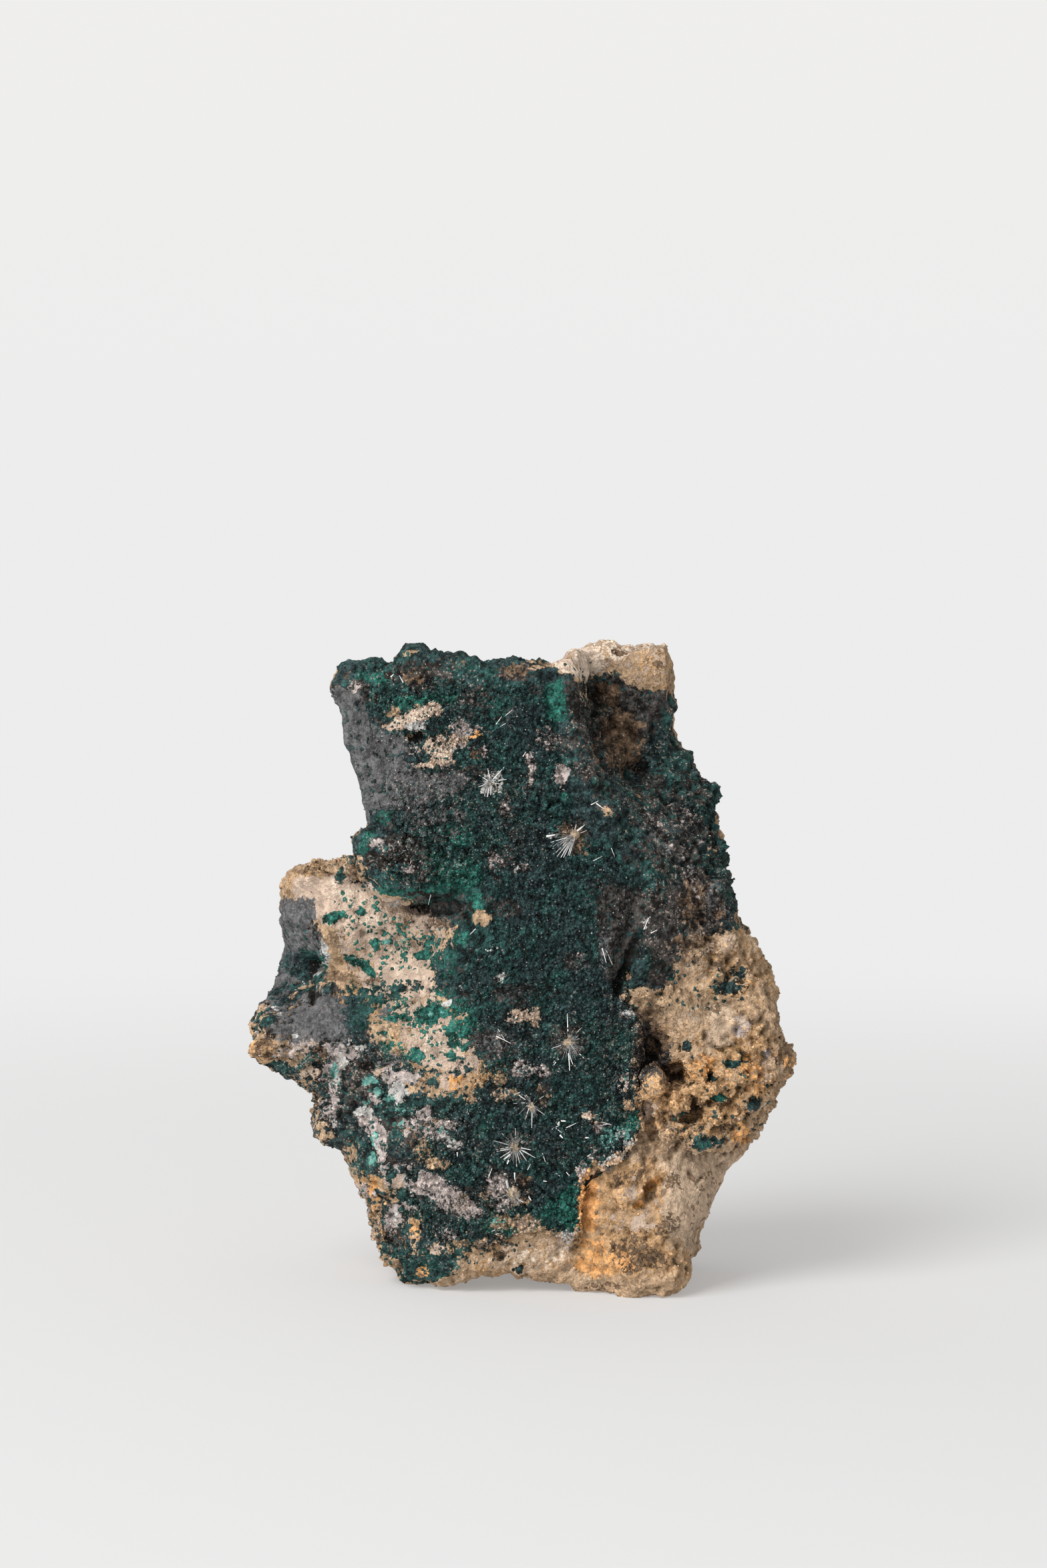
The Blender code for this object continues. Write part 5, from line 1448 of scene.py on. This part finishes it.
def make_crust():
    """The malachite crust in fine detail, in place of its CAD node, its hidden edges sunk in the rock."""
    crust = settings().crust
    piece = fine_piece("crust_surface", "malachite_crust", crust.spacing, 5)
    mesh = piece.data
    points, normals = mesh_arrays(mesh)
    trees = cad_trees()
    rock_tree = trees[0]
    front = seen_share(points, trees)
    gap, edge = edge_places(points, rock_tree)
    sink = near_edge(points, edge, SINK_REACH)
    inward = np.zeros_like(points)
    for index in np.nonzero(sink > 0.0)[0].tolist():
        inward[index] = rock_tree.find_nearest(points[index].tolist())[1]
    height = relief(points, front, CRUST_ROUGHNESS, crust.velvet, CRUST_NODULES, crust.botryoids)
    height = np.where(gap < BACK_END, 0.0, height)
    points = points + normals * height[:, None] - inward * (sink * crust.tuck)[:, None]
    set_points(mesh, points)
    thin_out(piece, crust.triangles, ramp_up(KEPT_ABOVE, THINNED_BELOW, gap))
    paint(piece.data, trees, 1.0)
    piece.data.materials.append(skin_material("velvet_malachite", 0.45 * MM, 1.0, 0.30 * MM))
    piece.data.shade_smooth()
    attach(piece, "root")
    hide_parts("malachite_crust")


def grain_template():
    """The points and faces of a rounded grain of radius 1."""
    bm = bmesh.new()
    bmesh.ops.create_icosphere(bm, subdivisions=1, radius=1.0)
    points = np.array([vertex.co for vertex in bm.verts])
    faces = np.array([[vertex.index for vertex in face.verts] for face in bm.faces])
    bm.free()
    return points, faces


def scatter_grains(name, carrier, count, wanted, sizes, seed):
    """Small rounded grains joined into one piece on a carrier's surface, most where wanted is high. Each
    takes the minerals of the ground it sits on, and the carrier's material."""
    mesh = carrier.data
    points, normals = mesh_arrays(mesh)
    mesh.calc_loop_triangles()
    triangles = np.empty(len(mesh.loop_triangles) * 3, dtype=np.int64)
    mesh.loop_triangles.foreach_get("vertices", triangles)
    triangles = triangles.reshape(-1, 3)
    sides = points[triangles]
    area = np.linalg.norm(np.cross(sides[:, 1] - sides[:, 0], sides[:, 2] - sides[:, 0]), axis=1)
    weight = area * wanted[triangles].mean(1)
    dice = np.random.default_rng(seed)
    chosen = dice.choice(len(triangles), count, p=weight / weight.sum())
    shares = dice.dirichlet((1.0, 1.0, 1.0), count)
    centres = (sides[chosen] * shares[:, :, None]).sum(1)
    outward = (normals[triangles[chosen]] * shares[:, :, None]).sum(1)
    smallest, largest = sizes
    widths = smallest + (largest - smallest) * dice.random(count) ** 2.0
    template, faces = grain_template()
    stretch = 0.8 + 0.4 * dice.random((count, 1, 3))
    uneven = 1.0 + 0.16 * dice.standard_normal((count, len(template), 1))
    turns = np.array([Matrix.Rotation(6.28 * share, 3, Vector(axis)) for share, axis in
                      zip(dice.random(count), dice.standard_normal((count, 3)))])
    shapes = np.einsum("nij,nvj->nvi", turns, template[None] * uneven * stretch) * widths[:, None, None] / 2
    shapes += (centres + outward * widths[:, None] * 0.06)[:, None, :]
    shapes[:, :, 2] = np.maximum(shapes[:, :, 2], 0.0)
    all_faces = (faces[None] + (np.arange(count) * len(template))[:, None, None]).reshape(-1, 3)
    grains = bpy.data.meshes.new(name)
    grains.from_pydata(shapes.reshape(-1, 3).tolist(), [], all_faces.tolist())
    for layer in mesh.attributes:
        if layer.data_type == "FLOAT" and layer.domain == "POINT":
            values = np.empty(len(points), dtype=np.float32)
            layer.data.foreach_get("value", values)
            values = dice.random(count) if layer.name == "tone" else values[triangles[chosen, 0]]
            set_attribute(grains, layer.name, np.repeat(values, len(template)))
    grains.materials.append(mesh.materials[0])
    grains.shade_smooth()
    piece = new_object(name, grains)
    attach(piece, "root")
    return piece


def make_malachite_grains():
    """The velvet's single grains, in three pieces one above the other, fewer where the crust is smooth."""
    crust = bpy.data.objects["crust_surface"]
    points, normals = mesh_arrays(crust.data)
    front = ramp_up(-0.1, 0.3, -normals[:, 1])
    calm = patches(photo_pixels(points), SMOOTH_GROUND)
    wanted = front * (1.0 - 0.9 * calm) + 0.001
    bands = np.quantile(points[wanted > 0.5, 2], (0.0, 0.33, 0.67, 1.0))
    for number in range(1, 4):
        here = ((points[:, 2] >= bands[number - 1]) & (points[:, 2] <= bands[number])) * wanted
        grains = scatter_grains(
            f"malachite_grains_{number}", crust, MALACHITE_GRAINS, here, MALACHITE_GRAIN_SIZES, 4 + number)


def make_limonite_grains():
    """Crumbs on the rock, most on its knobbly ground."""
    rock = bpy.data.objects["rock_surface"]
    points, normals = mesh_arrays(rock.data)
    pixels = photo_pixels(points)
    front = ramp_up(0.0, 0.3, -normals[:, 1])
    knobbly = 0.25 + patches(pixels, NODULAR_GROUND)
    knobbly *= 1.0 - 0.97 * patches(pixels, SMOOTH_GROUND)
    grains = scatter_grains(
        "limonite_grains", rock, LIMONITE_GRAINS, front * knobbly + 0.03, LIMONITE_GRAIN_SIZES, 9)


def set_on(centre, outward):
    """The place of a shape that stands on a point, its own up turned outward."""
    return Matrix.Translation(centre) @ outward.to_track_quat("Z", "Y").to_matrix().to_4x4()


def add_needle(bm, root, tip, thickness):
    """One needle with a blunt chisel tip."""
    along = tip - root
    bmesh.ops.create_cone(bm, cap_ends=True, segments=5, radius1=thickness / 2, radius2=thickness / 5,
                          depth=along.length, matrix=set_on(root + along / 2, along))


def add_bright_needles(bm, number, trees):
    """The single bright needles of a spray, each from the pixel of its root to that of its tip."""
    for root_x, root_y, tip_x, tip_y, thickness in BRIGHT_NEEDLES[number]:
        root, root_up = on_surface((root_x, root_y), trees)
        tip, tip_up = on_surface((tip_x, tip_y), trees)
        low = root + root_up * 0.5 * thickness * MM
        high = tip + tip_up * (thickness + 0.25) * MM
        add_needle(bm, low, high, thickness * MM)


def needle_piece(name, bm, bright_start, core_start):
    """Finishes a piece of needles: its faces from bright_start on are bright needles, and those from
    core_start on a stained core."""
    bm.faces.ensure_lookup_table()
    for face in bm.faces[bright_start:]:
        face.material_index = 1
    for face in bm.faces[core_start:]:
        face.material_index = 2
        face.smooth = True
    mesh = bpy.data.meshes.new(name)
    bm.to_mesh(mesh)
    bm.free()
    for material in needle_materials():
        mesh.materials.append(material)
    piece = new_object(name, mesh)
    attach(piece, "root")
    return piece


def make_spray(index, place, trees):
    """One spray of needles on its core, in place of its CAD node."""
    x, y, reach, count, lift, lean, spread, core = place
    needles = settings().needles
    centre, outward = on_surface((x, y), trees)
    up_slope = (Vector((0.0, 0.0, 1.0)) - outward * outward.z).normalized()
    right = up_slope.cross(outward).normalized()
    dice = np.random.default_rng(40 + index)
    bm = bmesh.new()
    for _ in range(count):
        angle = math.radians(lean + spread * (dice.random() - 0.5))
        rise = math.radians(8.0 + 82.0 * lift * dice.random() ** 1.5)
        flat = right * math.cos(angle) + up_slope * math.sin(angle)
        way = flat * math.cos(rise) + outward * math.sin(rise)
        favoured = 0.80 + 0.20 * math.cos(angle - math.radians(lean))
        span = reach * MM * (0.45 + 0.55 * dice.random()) * (favoured if spread >= 360 else 1.0)
        root = centre + outward * 0.05 * MM + way * core * 0.4 * MM
        add_needle(bm, root, centre + way * span, needles.thickness * (0.5 + 0.6 * dice.random()))
    clear_faces = len(bm.faces)
    add_bright_needles(bm, index, trees)
    needle_faces = len(bm.faces)
    ball = set_on(centre, outward) @ Matrix.Diagonal((core * MM, core * MM, core * 0.6 * MM, 1.0))
    made = bmesh.ops.create_icosphere(bm, subdivisions=3, radius=1.0, matrix=ball)
    for vertex in made["verts"]:
        vertex.co += (vertex.co - centre) * 0.9 * noise.noise(vertex.co * 4500.0)
    piece = needle_piece(f"spray_needles_{index}", bm, clear_faces, needle_faces)
    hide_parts(f"hemimorphite_spray_{index}")


def make_flecks(trees):
    """The single needles and flecks that lie loose on the crust."""
    bm = bmesh.new()
    add_bright_needles(bm, 0, trees)
    needle_piece("hemimorphite_flecks", bm, 0, len(bm.faces))


def soft_light(name, place, width, strength):
    """A square soft light that shines on the specimen's middle."""
    lamp = bpy.data.lights.new(name, "AREA")
    lamp.size = width
    lamp.energy = strength
    piece = new_object(name, lamp)
    piece.location = place
    piece.rotation_euler = (MIDDLE - Vector(place)).to_track_quat("-Z", "Y").to_euler()


def make_floor():
    """A pale round floor that fades out towards its edge, into the studio's white."""
    stage = settings().stage
    bm = bmesh.new()
    bmesh.ops.create_circle(bm, cap_ends=True, segments=128, radius=stage.floor_radius)
    mesh = bpy.data.meshes.new("studio_floor")
    bm.to_mesh(mesh)
    bm.free()
    piece = new_object("studio_floor", mesh)
    made, tree, shader = start_material("studio_floor")
    away = put(tree, "ShaderNodeVectorMath", ((0, object_place(tree)),), operation="LENGTH").outputs["Value"]
    fading = rescale(tree, away, stage.floor_radius * 0.95, stage.floor_radius * 0.25)
    feed(tree, shader.inputs["Alpha"], fading)
    shader.inputs["Base Color"].default_value = opaque(stage.floor)
    shader.inputs["Roughness"].default_value = 0.85
    shader.inputs["Emission Color"].default_value = (1.0, 0.985, 0.97, 1.0)
    shader.inputs["Emission Strength"].default_value = stage.floor_glow
    mesh.materials.append(made)


def make_world():
    """White studio surroundings: what the camera sees is bright, and what lights the object is softer."""
    world = bpy.data.worlds.new("studio")
    world.use_nodes = True
    tree = world.node_tree
    tree.nodes.clear()
    way = put(tree, "ShaderNodeTexCoord").outputs["Generated"]
    up = put(tree, "ShaderNodeSeparateXYZ", ((0, way),)).outputs["Z"]
    low_sky = (0.845, 0.845, 0.845, 1.0)
    high_sky = (0.865, 0.858, 0.85, 1.0)
    seen = between(tree, rescale(tree, up, -0.02, 0.12), low_sky, high_sky)
    shown = put(tree, "ShaderNodeBackground", ((0, seen), (1, 1.0)))
    lighting = put(tree, "ShaderNodeBackground", ((0, (1.0, 1.0, 1.0, 1.0)), (1, settings().stage.surround)))
    ray = put(tree, "ShaderNodeLightPath").outputs["Is Camera Ray"]
    mixed = put(tree, "ShaderNodeMixShader", ((0, ray), (1, lighting.outputs[0]), (2, shown.outputs[0])))
    put(tree, "ShaderNodeOutputWorld", (("Surface", mixed.outputs[0]),), is_active_output=True)
    bpy.context.scene.world = world


def make_camera():
    """The camera at the photograph's angle."""
    lens = bpy.data.cameras.new("photo_camera")
    lens.lens = LENS
    lens.sensor_width = FILM
    lens.sensor_fit = "AUTO"
    lens.clip_start = 0.01
    piece = new_object("photo_camera", lens)
    location, turn = camera_place()
    piece.location = location
    piece.rotation_euler = turn.to_euler()
    bpy.context.scene.camera = piece


class SPECIMEN_OT_stage(bpy.types.Operator):
    """Build the floor, the lights, the white surroundings and the camera"""

    bl_idname = "specimen.stage"
    bl_label = "Stage"

    def execute(self, context):
        make_floor()
        make_world()
        make_camera()
        for name, place, width, power_name in LIGHTS:
            soft_light(name, place, width, getattr(settings().stage, power_name))
        context.scene.view_settings.view_transform = "Standard"
        return {"FINISHED"}


class SPECIMEN_OT_rock(bpy.types.Operator):
    """Build the finely modelled limonite matrix"""

    bl_idname = "specimen.rock"
    bl_label = "Limonite matrix"

    def execute(self, context):
        make_rock()
        return {"FINISHED"}


class SPECIMEN_OT_crust(bpy.types.Operator):
    """Build the granular malachite crust"""

    bl_idname = "specimen.crust"
    bl_label = "Malachite crust"

    def execute(self, context):
        make_crust()
        return {"FINISHED"}


class SPECIMEN_OT_grains(bpy.types.Operator):
    """Scatter single grains over the crust and the knobbly ground"""

    bl_idname = "specimen.grains"
    bl_label = "Mineral grains"

    def execute(self, context):
        make_malachite_grains()
        make_limonite_grains()
        return {"FINISHED"}


class SPECIMEN_OT_sprays(bpy.types.Operator):
    """Build the sprays of hemimorphite needles on the crust"""

    bl_idname = "specimen.sprays"
    bl_label = "Hemimorphite sprays"

    def execute(self, context):
        trees = [tree_of(bpy.data.objects[name].data) for name in ("crust_surface", "rock_surface")]
        for index, place in enumerate(SPRAYS, start=1):
            make_spray(index, place, trees)
        make_flecks(trees)
        return {"FINISHED"}


class SPECIMEN_PT_panel(bpy.types.Panel):
    """Lists the specimen's steps and settings"""

    bl_idname = "SPECIMEN_PT_panel"
    bl_label = "Malachite with Hemimorphite"
    bl_space_type = "VIEW_3D"
    bl_region_type = "UI"
    bl_category = "Specimen"

    def draw(self, context):
        for group in ("rock", "crust", "needles", "stage"):
            box = self.layout.box()
            values = getattr(settings(), group)
            for name in values.__annotations__:
                box.prop(values, name)
        for operator in OPERATORS:
            self.layout.operator(operator.bl_idname)


OPERATORS = (SPECIMEN_OT_stage, SPECIMEN_OT_rock, SPECIMEN_OT_crust, SPECIMEN_OT_grains,
             SPECIMEN_OT_sprays)
CLASSES = (RockSettings, CrustSettings, NeedleSettings, StageSettings, SpecimenSettings, *OPERATORS,
           SPECIMEN_PT_panel)


def register():
    """Makes the settings, operators and panel known to Blender."""
    for made in CLASSES:
        bpy.utils.register_class(made)
    bpy.types.Scene.specimen = PointerProperty(type=SpecimenSettings)


def unregister():
    """Takes them away again."""
    del bpy.types.Scene.specimen
    for made in reversed(CLASSES):
        bpy.utils.unregister_class(made)


def main():
    """Builds everything in order."""
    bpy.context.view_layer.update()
    register()
    bpy.ops.specimen.stage()
    bpy.ops.specimen.rock()
    bpy.ops.specimen.crust()
    bpy.ops.specimen.grains()
    bpy.ops.specimen.sprays()


if __name__ == "__main__":
    main()
